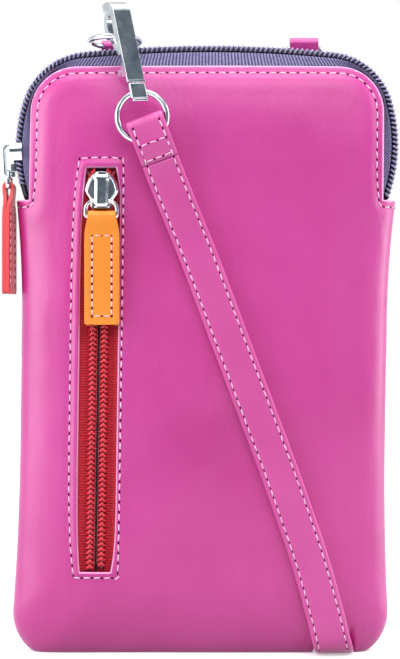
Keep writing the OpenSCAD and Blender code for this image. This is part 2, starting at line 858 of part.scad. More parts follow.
right_eye = right_hook_at - [0, 0, eye_drop];
right_ring_at = right_eye - [0, 0, strap_ring_r + eye_lift];
ring_in = strap_ring_r - strap_wire / 2;
ring_bite = sqrt(ring_in * ring_in - strap_w * strap_w / 4) - bar_gap;
right_fold = right_ring_at - [0, 0, ring_bite - strap_ply];

module strap_end_left() color("#e16bb4") {
    translate(left_fold)
        rotate([0, -left_slope_deg, 0])
            strap_end();
}

module strap_end_right() color("#e16bb4") {
    translate(right_fold)
        strap_end();
}

module strap_ring_left() color("#8d99a3") {
    translate(left_ring_at)
        rotate([90, 0, 0])
            torus(strap_ring_r, strap_wire);
}

module strap_ring_right() color("#8d99a3") {
    translate(right_ring_at)
        rotate([90, 0, 0])
            torus(strap_ring_r, strap_wire);
}

// Smooth curve through the rows of a route, for its places and its width directions
function knot(rows, i) = rows[min(max(i, 0), len(rows) - 1)];
function curve(a, b, c, d, f) =
    b + 0.5 * f * ((c - a) + f * ((2 * a - 5 * b + 4 * c - d) + f * (3 * (b - c) + d - a)));
function along(rows, u, k) =
    let (i = min(floor(u), len(rows) - 2), f = u - i)
    curve(knot(rows, i - 1)[k], knot(rows, i)[k], knot(rows, i + 1)[k],
        knot(rows, i + 2)[k], f);

// One flat section of the strap, square to its run
function strap_section(at, run, wide) =
    let (t = unit(run), w = unit(wide - (wide * t) * t), n = cross(t, w))
    let (a = strap_w / 2, b = strap_t / 2, c = strap_t / 4)
    [for (q = [[a, b - c], [a - c, b], [c - a, b], [-a, b - c], [-a, c - b], [c - a, -b],
        [a - c, -b], [a, c - b]]) at + q[0] * w + q[1] * n];

module strap_run(rows, per) {
    last = (len(rows) - 1) * per;
    nudge = 0.01;
    tube([for (i = [0:last])
        let (u = i / per)
        let (a = along(rows, max(u - nudge, 0), 0))
        let (b = along(rows, min(u + nudge, len(rows) - 1), 0))
        strap_section(along(rows, u, 0), b - a, along(rows, u, 1))]);
}

left_down = [sin(left_slope_deg), 0, -cos(left_slope_deg)];
left_join = left_fold + loop_l * left_down;
right_join = right_fold - [0, 0, loop_l];
left_wide = [cos(left_slope_deg), 0, sin(left_slope_deg)];

module strap_front_run() color("#e16bb4") {
    strap_run(concat([[left_join, left_wide]], front_route), 2);
}

// Roll: the strap's middle is folded over the core and both halves wind round together
function arm(deg, turn) =
    let (r = roll_core + roll_step * deg / 180)
    roll_at + r * [cos(turn - deg), sin(turn - deg), 0];
in_deg = (roll_r - roll_core) / roll_step * 180;
out_deg = in_deg + 180 - roll_out_deg;
module strap_roll() color("#e16bb4") {
    roll_path = roll_points();
    n = len(roll_path);
    least = min([for (i = [0:n - 1]) for (j = [i + 9:1:n - 1])
        norm(roll_path[i] - roll_path[j])]);
    echo(strap_roll_least_gap = least - strap_t);
    tube([for (i = [0:n - 1])
        strap_section(roll_path[i],
            roll_path[min(i + 1, n - 1)] - roll_path[max(i - 1, 0)], [0, 0, 1])]);
}

// Both arms wind the same way out of a core that is shaped like an S
arm_step = 15;
function roll_points() = concat([for (d = [in_deg:-arm_step:0]) arm(d, in_deg)],
    core_points(), [for (d = [0:arm_step:out_deg]) arm(d, in_deg + 180)]);
function core_points() =
    let (h = roll_core / 2, u = [cos(in_deg), sin(in_deg), 0])
    let (v = [-sin(in_deg), cos(in_deg), 0])
    concat([for (d = steps(6, 0, 180)) if (d > 0) roll_at + h * (u + cos(d) * u + sin(d) * v)],
        [for (d = steps(6, 0, 180)) if (d > 0 && d < 180)
            roll_at - h * (u - cos(d) * u + sin(d) * v)]);

module strap_back_run() color("#e16bb4") {
    points = roll_points();
    n = len(points);
    out = points[n - 1];
    strap_run(concat([[out, [0, 0, 1]]], back_route, [[right_join, [1, 0, 0]]]), 2);
}

// Trigger hook, its spine at -X and its nose at +X, in its own frame
module hook() {
    outer = hook_r + hook_bar;
    spine_x = bend_x - outer;
    difference() {
        union() {
            translate([bend_x, hook_t / 2, bend_z])
                rotate([90, 0, 0])
                    half_ring(hook_r, outer, hook_t);
            translate([spine_x, -hook_t / 2, collar_h])
                cube([hook_bar, hook_t, bend_z - collar_h]);
            slab([for (x = [bend_x + hook_r, bend_x + outer]) each
                x > bend_x + hook_r ? [[x, bend_z], [x, gate_arc(x, bar_gap)]]
                : [[x, gate_arc(x, bar_gap)], [x, bend_z]]], -hook_t / 2, hook_t / 2);
            translate([spine_x, -hook_t / 2, collar_h])
                cube([base_x - spine_x, hook_t, base_h]);
            cylinder(r = collar_r, h = collar_h, $fn = round_fn);
        }
        translate([gate_x - 2.4 * pin_r, -gate_slot / 2, gate_z - 4.4 * pin_r])
            cube([3 * hook_r, gate_slot, 2 * base_h]);
        hook_pin_hole(pin_r);
        translate([0, 0, -over])
            cylinder(r = shank_r + shank_clear, h = over + shank_l - eye_drop + bar_gap,
                $fn = round_fn);
    }
}

// The gate's tip and the nose meet on an arc round the gate's pin
nose_x = bend_x + hook_r + hook_bar / 2;
gate_reach = norm([nose_x + gate_bar / 2 - gate_x, nose_z - bar_gap - gate_z]);
function gate_arc(x, gap) = gate_z + sqrt(pow(gate_reach + gap, 2) - pow(x - gate_x, 2));

module hook_pin_hole(r) {
    translate([gate_x, 0, gate_z])
        rotate([90, 0, 0])
            cylinder(r = r, h = 2 * hook_t, center = true, $fn = round_fn);
}

// Gate: a lever from its pin up to the nose, with a thumb knob on its foot
module hook_gate() {
    tips = [for (x = [nose_x + gate_bar / 2, nose_x, nose_x - gate_bar / 2])
        [x, gate_arc(x, 0)]];
    in_x = 1.2 * pin_r;
    difference() {
        rotate([90, 0, 0]) {
            linear_extrude(gate_t, center = true)
                polygon(concat([[gate_x - in_x, gate_z], [gate_x - in_x / 2, gate_z - in_x],
                    [knob_x - in_x, knob_z - in_x], [knob_x, knob_z + in_x / 2],
                    [gate_x + 2 * in_x, gate_z + in_x / 2]], tips));
            translate([gate_x, gate_z])
                cylinder(r = 2 * pin_r, h = gate_t, center = true, $fn = round_fn);
            translate([knob_x, knob_z])
                cylinder(r = knob_r, h = hook_t, center = true, $fn = round_fn);
        }
        hook_pin_hole(pin_r + pin_clear);
    }
}

module hook_gate_pin() {
    translate([gate_x, 0, gate_z])
        rotate([90, 0, 0])
            cylinder(r = pin_r, h = hook_t, center = true, $fn = round_fn);
}

// Swivel eye with its shank, which turns in the hook's collar
module hook_eye() {
    translate([0, 0, -eye_drop])
        rotate([0, 90, 0])
            torus(eye_r, eye_wire);
    translate([0, 0, eye_r - eye_drop])
        cylinder(r = shank_r, h = shank_l - eye_r, $fn = round_fn);
}

left_eye = left_ring_at + (strap_ring_r + eye_lift) * [-sin(hook_lean_deg), 0, cos(hook_lean_deg)];
module left_hook_place() {
    translate(left_eye)
        rotate([0, -hook_lean_deg, 0])
            rotate([-hook_back_deg, 0, 0])
                translate([0, 0, eye_drop])
                    children();
}

module right_hook_place() {
    translate(right_hook_at)
        children();
}

module hook_eye_left() color("#8d99a3") {
    left_hook_place()
        hook_eye();
}

module hook_left() color("#8d99a3") {
    left_hook_place()
        rotate([0, 0, left_jaw_deg])
            hook();
}

module hook_gate_left() color("#9aa5ae") {
    left_hook_place()
        rotate([0, 0, left_jaw_deg])
            hook_gate();
}

module hook_gate_pin_left() color("#9aa5ae") {
    left_hook_place()
        rotate([0, 0, left_jaw_deg])
            hook_gate_pin();
}

module hook_eye_right() color("#8d99a3") {
    right_hook_place()
        hook_eye();
}

module hook_right() color("#8d99a3") {
    right_hook_place()
        rotate([0, 0, right_jaw_deg])
            hook();
}

module hook_gate_right() color("#9aa5ae") {
    right_hook_place()
        rotate([0, 0, right_jaw_deg])
            hook_gate();
}

module hook_gate_pin_right() color("#9aa5ae") {
    right_hook_place()
        rotate([0, 0, right_jaw_deg])
            hook_gate_pin();
}

front_panel();
back_panel();
lining_front();
lining_back();
pocket_lining();
zip_tape_front();
zip_tape_back();
zip_coil_front();
zip_coil_back();
pocket_tape_left();
pocket_tape_right();
pocket_coil_left();
pocket_coil_right();
main_slider();
main_slider_crown();
main_pull_link();
main_pull_tab();
pocket_slider();
pocket_slider_crown();
pocket_pull_link();
pocket_pull_tab();
ring_tab_left();
ring_tab_right();
tab_ring_left();
tab_ring_right();
strap_end_left();
strap_end_right();
strap_ring_left();
strap_ring_right();
strap_front_run();
strap_roll();
strap_back_run();
hook_eye_left();
hook_left();
hook_gate_left();
hook_gate_pin_left();
hook_eye_right();
hook_right();
hook_gate_right();
hook_gate_pin_right();
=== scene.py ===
import bisect
import bmesh
import bpy
import json
import math
import random
from mathutils import Matrix, Vector, noise

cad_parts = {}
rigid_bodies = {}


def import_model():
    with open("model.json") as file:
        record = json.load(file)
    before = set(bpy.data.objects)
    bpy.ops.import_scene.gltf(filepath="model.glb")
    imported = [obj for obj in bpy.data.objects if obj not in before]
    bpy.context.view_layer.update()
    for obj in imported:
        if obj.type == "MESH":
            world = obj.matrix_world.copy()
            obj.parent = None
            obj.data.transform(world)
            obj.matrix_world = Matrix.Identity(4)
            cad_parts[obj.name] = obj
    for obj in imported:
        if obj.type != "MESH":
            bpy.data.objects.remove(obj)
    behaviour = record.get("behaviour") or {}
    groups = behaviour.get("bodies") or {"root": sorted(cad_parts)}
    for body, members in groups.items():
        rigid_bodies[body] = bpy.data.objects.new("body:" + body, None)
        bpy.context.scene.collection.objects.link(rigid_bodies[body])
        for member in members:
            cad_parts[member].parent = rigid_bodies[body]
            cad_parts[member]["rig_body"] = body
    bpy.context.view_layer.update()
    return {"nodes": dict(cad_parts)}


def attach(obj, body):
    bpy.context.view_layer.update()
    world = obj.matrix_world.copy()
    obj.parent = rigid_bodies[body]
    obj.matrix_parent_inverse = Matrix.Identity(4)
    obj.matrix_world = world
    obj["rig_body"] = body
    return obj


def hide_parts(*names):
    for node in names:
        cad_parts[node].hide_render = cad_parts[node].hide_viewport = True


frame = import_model()
nodes = frame["nodes"]
random.seed(7)
mm = 0.001


# ---- small helpers; lengths are in millimetres until makePiece turns them to metres
def mix(a, b, f):
    return a + (b - a) * f


def ramp(a, b, x):
    return min(1.0, max(0.0, (x - a) / (b - a)))


def ease(f):
    return f * f * (3 - 2 * f)


def steps(n, a, b):
    return [mix(a, b, i / n) for i in range(n + 1)]


def vec(*v):
    return Vector(v if len(v) == 3 else v[0])


def mappedGrid(nu, nv, place, uvAt=None):
    # a grid whose point (i, j) goes where place(i, j) says
    bm = bmesh.new()
    bmesh.ops.create_grid(bm, x_segments=nu - 1, y_segments=nv - 1, size=1)
    spots = {v: (round((v.co.x + 1) / 2 * (nu - 1)), round((v.co.y + 1) / 2 * (nv - 1))) for v in bm.verts}
    if uvAt:
        layer = bm.loops.layers.uv.new("UVMap")
        for face in bm.faces:
            for loop in face.loops:
                loop[layer].uv = uvAt(*spots[loop.vert])
    for v, spot in spots.items():
        v.co = place(*spot)
    return bm, spots


def runLengths(points):
    # the distance along a line of points, at each of them
    found = [0.0]
    for a, b in zip(points, points[1:]):
        found.append(found[-1] + (b - a).length)
    return found


def sweep(stations, section):
    # a tube with closed ends: stations are (centre, across, up), section a closed list of (across, up)
    lengths = runLengths([station[0] for station in stations])
    girth = [0.0]
    for a, b in zip(section, section[1:] + section[:1]):
        girth.append(girth[-1] + math.hypot(b[0] - a[0], b[1] - a[1]))

    def place(i, j):
        centre, across, up = stations[j]
        a, b = section[i % len(section)]
        return centre + across * a + up * b

    bm = mappedGrid(len(section) + 1, len(stations), place, lambda i, j: (girth[i] * mm, lengths[j] * mm))[0]
    bmesh.ops.remove_doubles(bm, verts=bm.verts, dist=1e-5)
    bmesh.ops.holes_fill(bm, edges=[e for e in bm.edges if e.is_boundary])
    bmesh.ops.recalc_face_normals(bm, faces=bm.faces)
    return bm


def roundSection(r, n):
    return [(r * math.cos(math.tau * k / n), r * math.sin(math.tau * k / n)) for k in range(n)]


def wireStations(points, side=None):
    # frames along a line of points; side is a rough direction for "across", or a list with one for each point
    found = []
    across = None
    for k, p in enumerate(points):
        run = (points[min(k + 1, len(points) - 1)] - points[max(k - 1, 0)]).normalized()
        if isinstance(side, list):
            guess = side[k]
        elif side is not None:
            guess = vec(side)
        else:
            guess = across or (vec(0, 0, 1) if abs(run.z) < 0.9 else vec(1, 0, 0))
        across = (guess - run * guess.dot(run)).normalized()
        found.append((p, across, run.cross(across)))
    return found


def stamp(bm, mesh, matrix):
    copy = mesh.copy()
    copy.transform(matrix)
    bm.from_mesh(copy)
    bpy.data.meshes.remove(copy)


def stampMesh(bm, name):
    mesh = bpy.data.meshes.new(name)
    bm.to_mesh(mesh)
    bm.free()
    return mesh


def markFaces(bm, first, index):
    # gives the faces from number first on the material of that index
    bm.faces.ensure_lookup_table()
    for face in bm.faces[first:]:
        face.material_index = index


def faceFront(bm, front=True):
    # an open sheet's faces all towards the camera, or all away from it
    bmesh.ops.recalc_face_normals(bm, faces=bm.faces)
    if (sum(f.normal.y for f in bm.faces) > 0) == front:
        bmesh.ops.reverse_faces(bm, faces=bm.faces)


def breakEdges(bm, width, angle, segments):
    # bevels the edges sharper than the angle
    sharp = [e for e in bm.edges if len(e.link_faces) == 2 and e.calc_face_angle(0) > math.radians(angle)]
    bmesh.ops.bevel(bm, geom=sharp, offset=width, segments=segments, profile=0.5, affect="EDGES", material=-1,
                    clamp_overlap=True)


def addObject(name, data):
    thing = bpy.data.objects.new(name, data)
    bpy.context.scene.collection.objects.link(thing)
    return thing


def makePiece(name, bm, materials, body, stands=(), unit=mm, smooth=True):
    if unit != 1:
        bmesh.ops.scale(bm, vec=(unit, unit, unit), verts=bm.verts)
    mesh = stampMesh(bm, name)
    for material in materials:
        mesh.materials.append(material)
    for polygon in mesh.polygons:
        polygon.use_smooth = smooth
    piece = addObject(name, mesh)
    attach(piece, body)
    if stands:
        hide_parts(*stands)
    return piece


def addWall(piece, thickness, offset=-1):
    wall = piece.modifiers.new("wall", "SOLIDIFY")
    wall.thickness, wall.offset = thickness * mm, offset


# ---- materials
def linear(hexColour):
    channels = [int(hexColour[i:i + 2], 16) / 255 for i in (1, 3, 5)]
    return tuple(c / 12.92 if c <= 0.04045 else ((c + 0.055) / 1.055) ** 2.4 for c in channels) + (1.0,)


def addNode(tree, kind, settings=None, links=None):
    node = tree.nodes.new(kind)
    for name, value in (settings or {}).items():
        if name == "stops":  # a colour ramp's (position, hex colour) pairs
            elements = node.color_ramp.elements
            while len(elements) < len(value):
                elements.new(0.5)
            for element, (position, hexColour) in zip(elements, value):
                element.position = position
                element.color = linear(hexColour)
        elif name in node.inputs:
            node.inputs[name].default_value = value
        else:
            setattr(node, name, value)
    for name, source in (links or {}).items():
        tree.links.new(source, node.inputs[name])
    return node


def newMaterial(name, settings):
    material = bpy.data.materials.new(name)
    material.use_nodes = True
    shader = material.node_tree.nodes["Principled BSDF"]
    for key, value in settings.items():
        shader.inputs[key].default_value = value
    return material, material.node_tree, shader


def coordinates(tree, kind="Object"):
    return {"Vector": addNode(tree, "ShaderNodeTexCoord").outputs[kind]}


def maths(tree, operation, a, b):
    return addNode(tree, "ShaderNodeMath", {"operation": operation}, {0: a, 1: b}).outputs["Value"]


def dress(tree, shader, stops, colours, pattern, bump, height=None, normal=None, shine=None):
    # the colour follows the pattern, and so does the bump if no height is given; shine is a range of roughness
    height = pattern if height is None else height
    relief = {"Height": height} if normal is None else {"Height": height, "Normal": normal}
    links = {"Base Color": addNode(tree, "ShaderNodeValToRGB", {"stops": list(zip(stops, colours))},
                                   {"Fac": pattern}).outputs["Color"],
             "Normal": addNode(tree, "ShaderNodeBump", {"Strength": bump[0], "Distance": bump[1]},
                               relief).outputs["Normal"]}
    if shine:
        links["Roughness"] = addNode(tree, "ShaderNodeMapRange", {"To Min": shine[0], "To Max": shine[1]},
                                     {"Value": height}).outputs["Result"]
    for name, source in links.items():
        tree.links.new(source, shader.inputs[name])


def leatherMaterial(name, colours, grain, roughness, coat=0.5):
    # dyed smooth calf leather, plated: a soft sheen, fine pores, faint long creases
    material, tree, shader = newMaterial(name, {"Roughness": roughness, "IOR": 1.5, "Coat Weight": coat,
                                                "Coat Roughness": 0.28, "Specular IOR Level": 0.5})
    place = coordinates(tree)
    cloud = addNode(tree, "ShaderNodeTexNoise", {"Scale": 1 / 0.045, "Detail": 3.0, "Roughness": 0.55}, place)
    pores = addNode(tree, "ShaderNodeTexVoronoi", {"Scale": 1 / (grain * mm), "feature": "F1"}, place)
    # creases 4.5 mm apart, drawn out along the height
    turned = addNode(tree, "ShaderNodeMapping", {"Scale": (1.0, 1.0, 0.45), "Rotation": (0.0, 0.5, 0.0)}, place)
    creases = addNode(tree, "ShaderNodeTexNoise", {"Scale": 1 / 0.0045, "Detail": 4.0, "Roughness": 0.6,
                                                   "Distortion": 0.6}, {"Vector": turned.outputs["Vector"]})
    fine = addNode(tree, "ShaderNodeBump", {"Strength": 0.35, "Distance": 0.00007},
                   {"Height": pores.outputs["Distance"]})
    dress(tree, shader, (0.3, 0.52, 0.75), colours, cloud.outputs["Fac"], (0.5, 0.00055),
          creases.outputs["Fac"], fine.outputs["Normal"], (roughness - 0.07, roughness + 0.09))
    return material


def tapeMaterial(name, colours, rib):
    # woven polyester zip tape: matt, with a slight sheen, ribbed across its length; the ribs are drawn
    # at about twice the real 0.4 mm thread so that they show
    material, tree, shader = newMaterial(name, {"Roughness": 0.75, "Sheen Weight": 0.25, "Sheen Roughness": 0.5})
    uv = coordinates(tree, "UV")
    ribs = addNode(tree, "ShaderNodeTexWave", {"Scale": 1 / (rib * mm) / 20 * math.tau, "bands_direction": "Y",
                                               "wave_profile": "SIN", "Distortion": 1.2, "Detail": 1.0}, uv)
    speck = addNode(tree, "ShaderNodeTexNoise", {"Scale": 1 / 0.0008, "Detail": 2.0}, uv)
    both = maths(tree, "MULTIPLY", ribs.outputs["Fac"], speck.outputs["Fac"])
    dress(tree, shader, (0.08, 0.42), colours, both, (0.8, 0.0003))
    return material


def clothMaterial(name, colours, pitch):
    # plain woven lining cloth: threads over and under, matt
    material, tree, shader = newMaterial(name, {"Roughness": 0.85, "Sheen Weight": 0.2, "Sheen Roughness": 0.5})
    place = coordinates(tree)
    bands = {"Scale": 1 / (pitch * mm) / 20 * math.tau, "wave_profile": "SIN"}
    weft, warp = [addNode(tree, "ShaderNodeTexWave", dict(bands, bands_direction=axis), place).outputs["Fac"]
                  for axis in "ZX"]
    dress(tree, shader, (0.0, 0.7), colours, maths(tree, "MULTIPLY", weft, warp), (0.5, 0.0001))
    return material


def speckMaterial(name, colours, settings, speck, stops, bump, shine=None):
    material, tree, shader = newMaterial(name, settings)
    pattern = addNode(tree, "ShaderNodeTexNoise", speck, coordinates(tree)).outputs["Fac"]
    dress(tree, shader, stops, colours, pattern, bump, shine=shine)
    return material


def coilMaterial(name, colours):
    # nylon monofilament: dyed through, smooth and a little glossy; given very dark colours, it paints the shade in
    # the gaps
    return speckMaterial(name, colours, {"Roughness": 0.32, "IOR": 1.53}, {"Scale": 1 / 0.002, "Detail": 2.0},
                         (0.35, 0.65), (0.2, 0.00005))


def metalMaterial(name, colours, roughness):
    # die-cast zinc, nickel plated and polished: bright, slightly warm grey, faint wear
    return speckMaterial(name, colours, {"Metallic": 1.0, "Roughness": roughness},
                         {"Scale": 1 / 0.0035, "Detail": 4.0, "Roughness": 0.6}, (0.3, 0.7), (0.12, 0.00008),
                         (roughness - 0.06, roughness + 0.1))


def threadMaterial(name, colours):
    # bonded polyester sewing thread: two plies twisted, a dull silky white
    return speckMaterial(name, colours, {"Roughness": 0.6, "Sheen Weight": 0.3, "Sheen Roughness": 0.4},
                         {"Scale": 1 / 0.0007, "Detail": 1.0}, (0.3, 0.6), (0.5, 0.0001))


pinkLeather = leatherMaterial("calfLeatherMagenta", ["#c42d8d", "#cf3999", "#d543a1"], 0.55, 0.4)
# painted highlight: a paler copy of the leather for the bright line where light catches the rolled edges
edgeHighlightLeather = leatherMaterial("calfLeatherEdgeHighlight", ["#f0a0d4", "#f7b2de", "#fbc2e6"], 0.55, 0.34)
strapLeather = leatherMaterial("calfLeatherStrap", ["#c93e94", "#d44aa0", "#d954a6"], 0.55, 0.44)
orangeLeather = leatherMaterial("calfLeatherOrange", ["#f58a22", "#fb962e", "#fd9d3a"], 0.5, 0.5, 0.05)
coralLeather = leatherMaterial("calfLeatherCoral", ["#e2484f", "#ee535b", "#f25f66"], 0.5, 0.5, 0.05)
navyTape = tapeMaterial("wovenTapeNavy", ["#3c3664", "#938cb8"], 0.95)
redTape = tapeMaterial("wovenTapeRed", ["#c4132a", "#f03048"], 0.8)
navyCoil = coilMaterial("nylonCoilNavy", ["#8a84b6", "#b0abd6"])
redCoil = coilMaterial("nylonCoilRed", ["#dd2038", "#f23a50"])
nickel = metalMaterial("nickelPlate", ["#b4bcc2", "#d6dbde"], 0.16)
lining = clothMaterial("wovenLining", ["#6e607c", "#94869f"], 0.45)
thread = threadMaterial("sewingThread", ["#f3bfe0", "#fee6f4"])
# painted shade: the main zip's core cord is made near black, far darker than its coil, for the shade in the gaps
# between loops
navyCoreShade = coilMaterial("nylonCoreNavyShade", ["#0d0a1e", "#17132c"])
# painted shade: the pocket zip's core cord is made dark red, far darker than its coil, for the shade in the chain's
# middle
redCoreShade = coilMaterial("nylonCoreRedShade", ["#70101c", "#94182a"])
# painted highlight: pale dots on the pocket coil's heads stand for glints
redHeadGlint = threadMaterial("nylonHeadsRedGlint", ["#e0505e", "#ff98a2"])
# painted shade: a dark mark for the shade in a needle's hole through the leather
holeShade = newMaterial("needleHoleShade", {"Base Color": linear("#5a0c3c"), "Roughness": 0.9,
                                       "Specular IOR Level": 0.05})[0]
print("materials made")

# ---- camera: level, in front of the pouch, as in the photograph
cameraView = {"place": (-0.0006, -0.55, 0.0963), "width": 0.12, "sensor": 36.0}
lens = bpy.data.cameras.new("camera")
lens.sensor_fit = "HORIZONTAL"
lens.sensor_width = cameraView["sensor"]
lens.lens = cameraView["sensor"] * -cameraView["place"][1] / cameraView["width"]
camera = addObject("camera", lens)
camera.location = cameraView["place"]
camera.rotation_euler = (math.pi / 2, 0, 0)
bpy.context.scene.camera = camera

# ---- strap: two plies of leather, sewn along both edges; 1.1 m long in all
strap = {
    "width": 11.2, "thick": 2.4, "ply": 1.1, "loopLength": 14.0, "loopOpen": 1.3, "leftFold": (-17.2, -14.9, 158.5),
    "leftSlope": 21.0, "ringR": 7.25, "ringWire": 1.7, "rightHook": (31.0, 21.0, 151.0), "stitchIn": 1.5,
    "stitchPitch": 2.8, "perRow": 4, "armStep": 10.0,
    "rollAt": (10.0, 52.0, 5.8), "rollR": 35.2, "rollCore": 12.7, "rollStep": 4.5, "rollOut": 340.0,
}
frontRoute = [
    ((-11, -14.2, 142.3), (0.93, 0, 0.36)), ((-8, -13.4, 134.8), (0.93, 0, 0.36)),
    ((-4, -12.8, 125), (0.93, 0, 0.36)), ((0, -12.8, 115), (0.93, 0, 0.36)),
    ((7.5, -12.8, 95), (0.94, 0, 0.34)), ((15, -12.8, 75), (0.95, 0, 0.32)),
    ((22.5, -12.7, 55), (0.96, 0, 0.29)), ((29.5, -12.5, 35), (0.96, 0, 0.27)),
    ((32.8, -12.3, 24.5), (0.97, 0, 0.24)), ((36, -12, 13), (0.98, 0, 0.2)),
    ((37.6, -11.6, 6.5), (0.99, 0, 0.14)), ((38.5, -10.4, 3.4), (1, 0, 0.06)),
    ((39.1, -7.6, 1.8), (1, 0, 0.02)), ((39.6, -3, 1.4), (1, 0, 0)), ((40, 3, 1.4), (1, 0, 0)),
    ((40.4, 9, 1.4), (1, 0, 0)), ((41.2, 16, 2.7), (0.98, 0, 0.2)), ((42.4, 23, 4.7), (0.8, 0, 0.6)),
    ((43.6, 30, 5.8), (0.5, 0, 0.87)), ((44.6, 37, 5.9), (0.2, 0, 0.98)), ((45.1, 44, 5.8), (0.05, 0, 1)),
    ((45.2, 52, 5.8), (0, 0, 1))]
backRoute = [
    ((37.4, 36.2, 6), (0.1, 0, 1)), ((35.4, 30.8, 7.6), (0.4, 0, 0.92)), ((33.4, 26.4, 11.4), (0.75, 0, 0.66)),
    ((32.1, 23, 17), (0.93, 0, 0.37)), ((31.4, 21, 25), (1, 0, 0.1)), ((31, 19.4, 38), (1, 0, 0)),
    ((31, 18.3, 55), (1, 0, 0)), ((31, 18, 75), (1, 0, 0)), ((31, 18.8, 95), (1, 0, 0)),
    ((31, 20.4, 112), (1, 0, 0))]


def smoothRoute(rows, per):
    # a smooth curve through the rows, places and width directions alike
    rows = [(vec(a), vec(b)) for a, b in rows]
    found = []
    for k in range((len(rows) - 1) * per + 1):
        i = min(k // per, len(rows) - 2)
        f = k / per - i
        spot = []
        for part in (0, 1):
            a, b, c, d = [rows[min(max(i + n, 0), len(rows) - 1)][part] for n in (-1, 0, 1, 2)]
            spot.append(b + 0.5 * f * ((c - a) + f * ((2 * a - 5 * b + 4 * c - d) + f * (3 * (b - c) + d - a))))
        found.append(tuple(spot))
    return found


slope = math.radians(strap["leftSlope"])
leftDown = vec(math.sin(slope), 0, -math.cos(slope))
leftJoin = vec(strap["leftFold"]) + leftDown * strap["loopLength"]
ringBite = math.sqrt((strap["ringR"] - strap["ringWire"] / 2) ** 2 - strap["width"] ** 2 / 4) - 0.15
rightRing = vec(strap["rightHook"]) - vec(0, 0, 2.9 + strap["ringR"] + 0.25)
rightFold = rightRing - vec(0, 0, ringBite - strap["ply"])
rightJoin = rightFold - vec(0, 0, strap["loopLength"])

rollAt = vec(strap["rollAt"])
inDeg = (strap["rollR"] - strap["rollCore"]) / strap["rollStep"] * 180
outDeg = inDeg + 180 - strap["rollOut"]


def rollArm(deg, turn):
    r = strap["rollCore"] + strap["rollStep"] * deg / 180
    a = math.radians(turn - deg)
    return rollAt + vec(r * math.cos(a), r * math.sin(a), 0)


def rollPoints():
    upright = vec(0, 0, 1)
    inward = [rollArm(d, inDeg) for d in steps(round(inDeg / strap["armStep"]), inDeg, 0)]
    outward = [rollArm(d, inDeg + 180) for d in steps(round(outDeg / strap["armStep"]), 0, outDeg)]
    h, t = strap["rollCore"] / 2, math.radians(inDeg)
    u, v = vec(math.cos(t), math.sin(t), 0), vec(-math.sin(t), math.cos(t), 0)
    core = [rollAt + h * (u + math.cos(a) * u + math.sin(a) * v) for a in steps(9, 0, math.pi)[1:]]
    core += [rollAt - h * (u - math.cos(a) * u + math.sin(a) * v) for a in steps(9, 0, math.pi)[1:-1]]
    return [(p, upright) for p in inward + core + outward]


frontRun = smoothRoute([(leftJoin, (math.cos(slope), 0, math.sin(slope)))] + frontRoute, strap["perRow"])
roll = rollPoints()
backRun = smoothRoute([(roll[-1][0], (0, 0, 1))] + backRoute + [(rightJoin, (1, 0, 0))], strap["perRow"])
strapRun = frontRun[:-1] + roll[:-1] + backRun


def leatherSection(width, thick, groove, plies=True):
    # half of a strap's cross-section, with a soft groove under the stitches, then its mirror images
    a, b = width / 2, thick / 2
    face = [(a - 0.02, 0.38 * b), (a - 0.12, 0.68 * b), (a - 0.4, 0.92 * b), (a - 0.85, b), (a - 1.15, 0.97 * b),
            (a - strap["stitchIn"], b - groove), (a - 1.85, 0.97 * b), (a - 2.6, 1.02 * b), (a - 4.2, 1.03 * b)]
    face += [(-x, y) for x, y in reversed(face)]
    side = [(-a + (0.14 if plies else 0), 0.0)]
    return face + side + [(x, -y) for x, y in reversed(face)] + [(-x, y) for x, y in side]


strapStops = wireStations([p for p, _ in strapRun], [wide for _, wide in strapRun])
strapBm = sweep(strapStops, leatherSection(strap["width"], strap["thick"], 0.2))
strapPiece = makePiece("strap", strapBm, [strapLeather], "pouch",
                       ["strap_front_run", "strap_roll", "strap_back_run"])

# a path along the strap: every third station of it, and its last
strapPath = [tuple(p[0] * mm) for p in strapStops[::3]] + [tuple(strapStops[-1][0] * mm)]
strapLength = runLengths([p for p, _, _ in strapStops])[-1] * mm
print("strap: length", round(strapLength, 3), "m without its ends")


def loopPoints():
    # from the back ply's end up, over the ring's wire and down the front ply
    mid, low = strap["loopOpen"] + strap["ply"] / 2, strap["ply"] / 2 + 0.05
    top = strap["loopOpen"] + strap["ply"]
    back = [(low, -strap["loopLength"]), (low, -12.8), (mix(low, mid, 0.5), -10.8)]
    back += [(mid, -8.8), (mid, -6.5), (mid, -4.5)]
    over = [(mid * math.cos(a), -top + mid * math.sin(a)) for a in steps(12, 0, math.pi)]
    return [vec(0, y, z) for y, z in back + over + [(-y, z) for y, z in reversed(back)]]


def makeLoop(name, matrix, node):
    bm = sweep(wireStations(loopPoints(), (1, 0, 0)), leatherSection(strap["width"], strap["ply"], 0.06, False))
    bmesh.ops.transform(bm, matrix=matrix, verts=bm.verts)
    return makePiece(name, bm, [strapLeather], "pouch", [node])


leftLoopPlace = Matrix.Translation(strap["leftFold"]) @ Matrix.Rotation(-slope, 4, "Y")
rightLoopPlace = Matrix.Translation(rightFold)
strapLoops = [makeLoop("strap_loop_left", leftLoopPlace, "strap_end_left"),
              makeLoop("strap_loop_right", rightLoopPlace, "strap_end_right")]

# ---- stitches: a thread's visible dash and, between two of them, a dark mark of painted shade for the needle hole
stitch = {"length": 2.05, "wide": 0.46, "high": 0.42, "hole": 0.36}
stitchBm = bmesh.new()
bmesh.ops.create_uvsphere(stitchBm, u_segments=6, v_segments=5, radius=0.5)
bmesh.ops.rotate(stitchBm, verts=stitchBm.verts, cent=(0, 0, 0), matrix=Matrix.Rotation(math.pi / 2, 3, "Y"))
dash = stampMesh(stitchBm, "dash")
holeBm = bmesh.new()
bmesh.ops.create_uvsphere(holeBm, u_segments=8, v_segments=4, radius=1)
hole = stampMesh(holeBm, "hole")


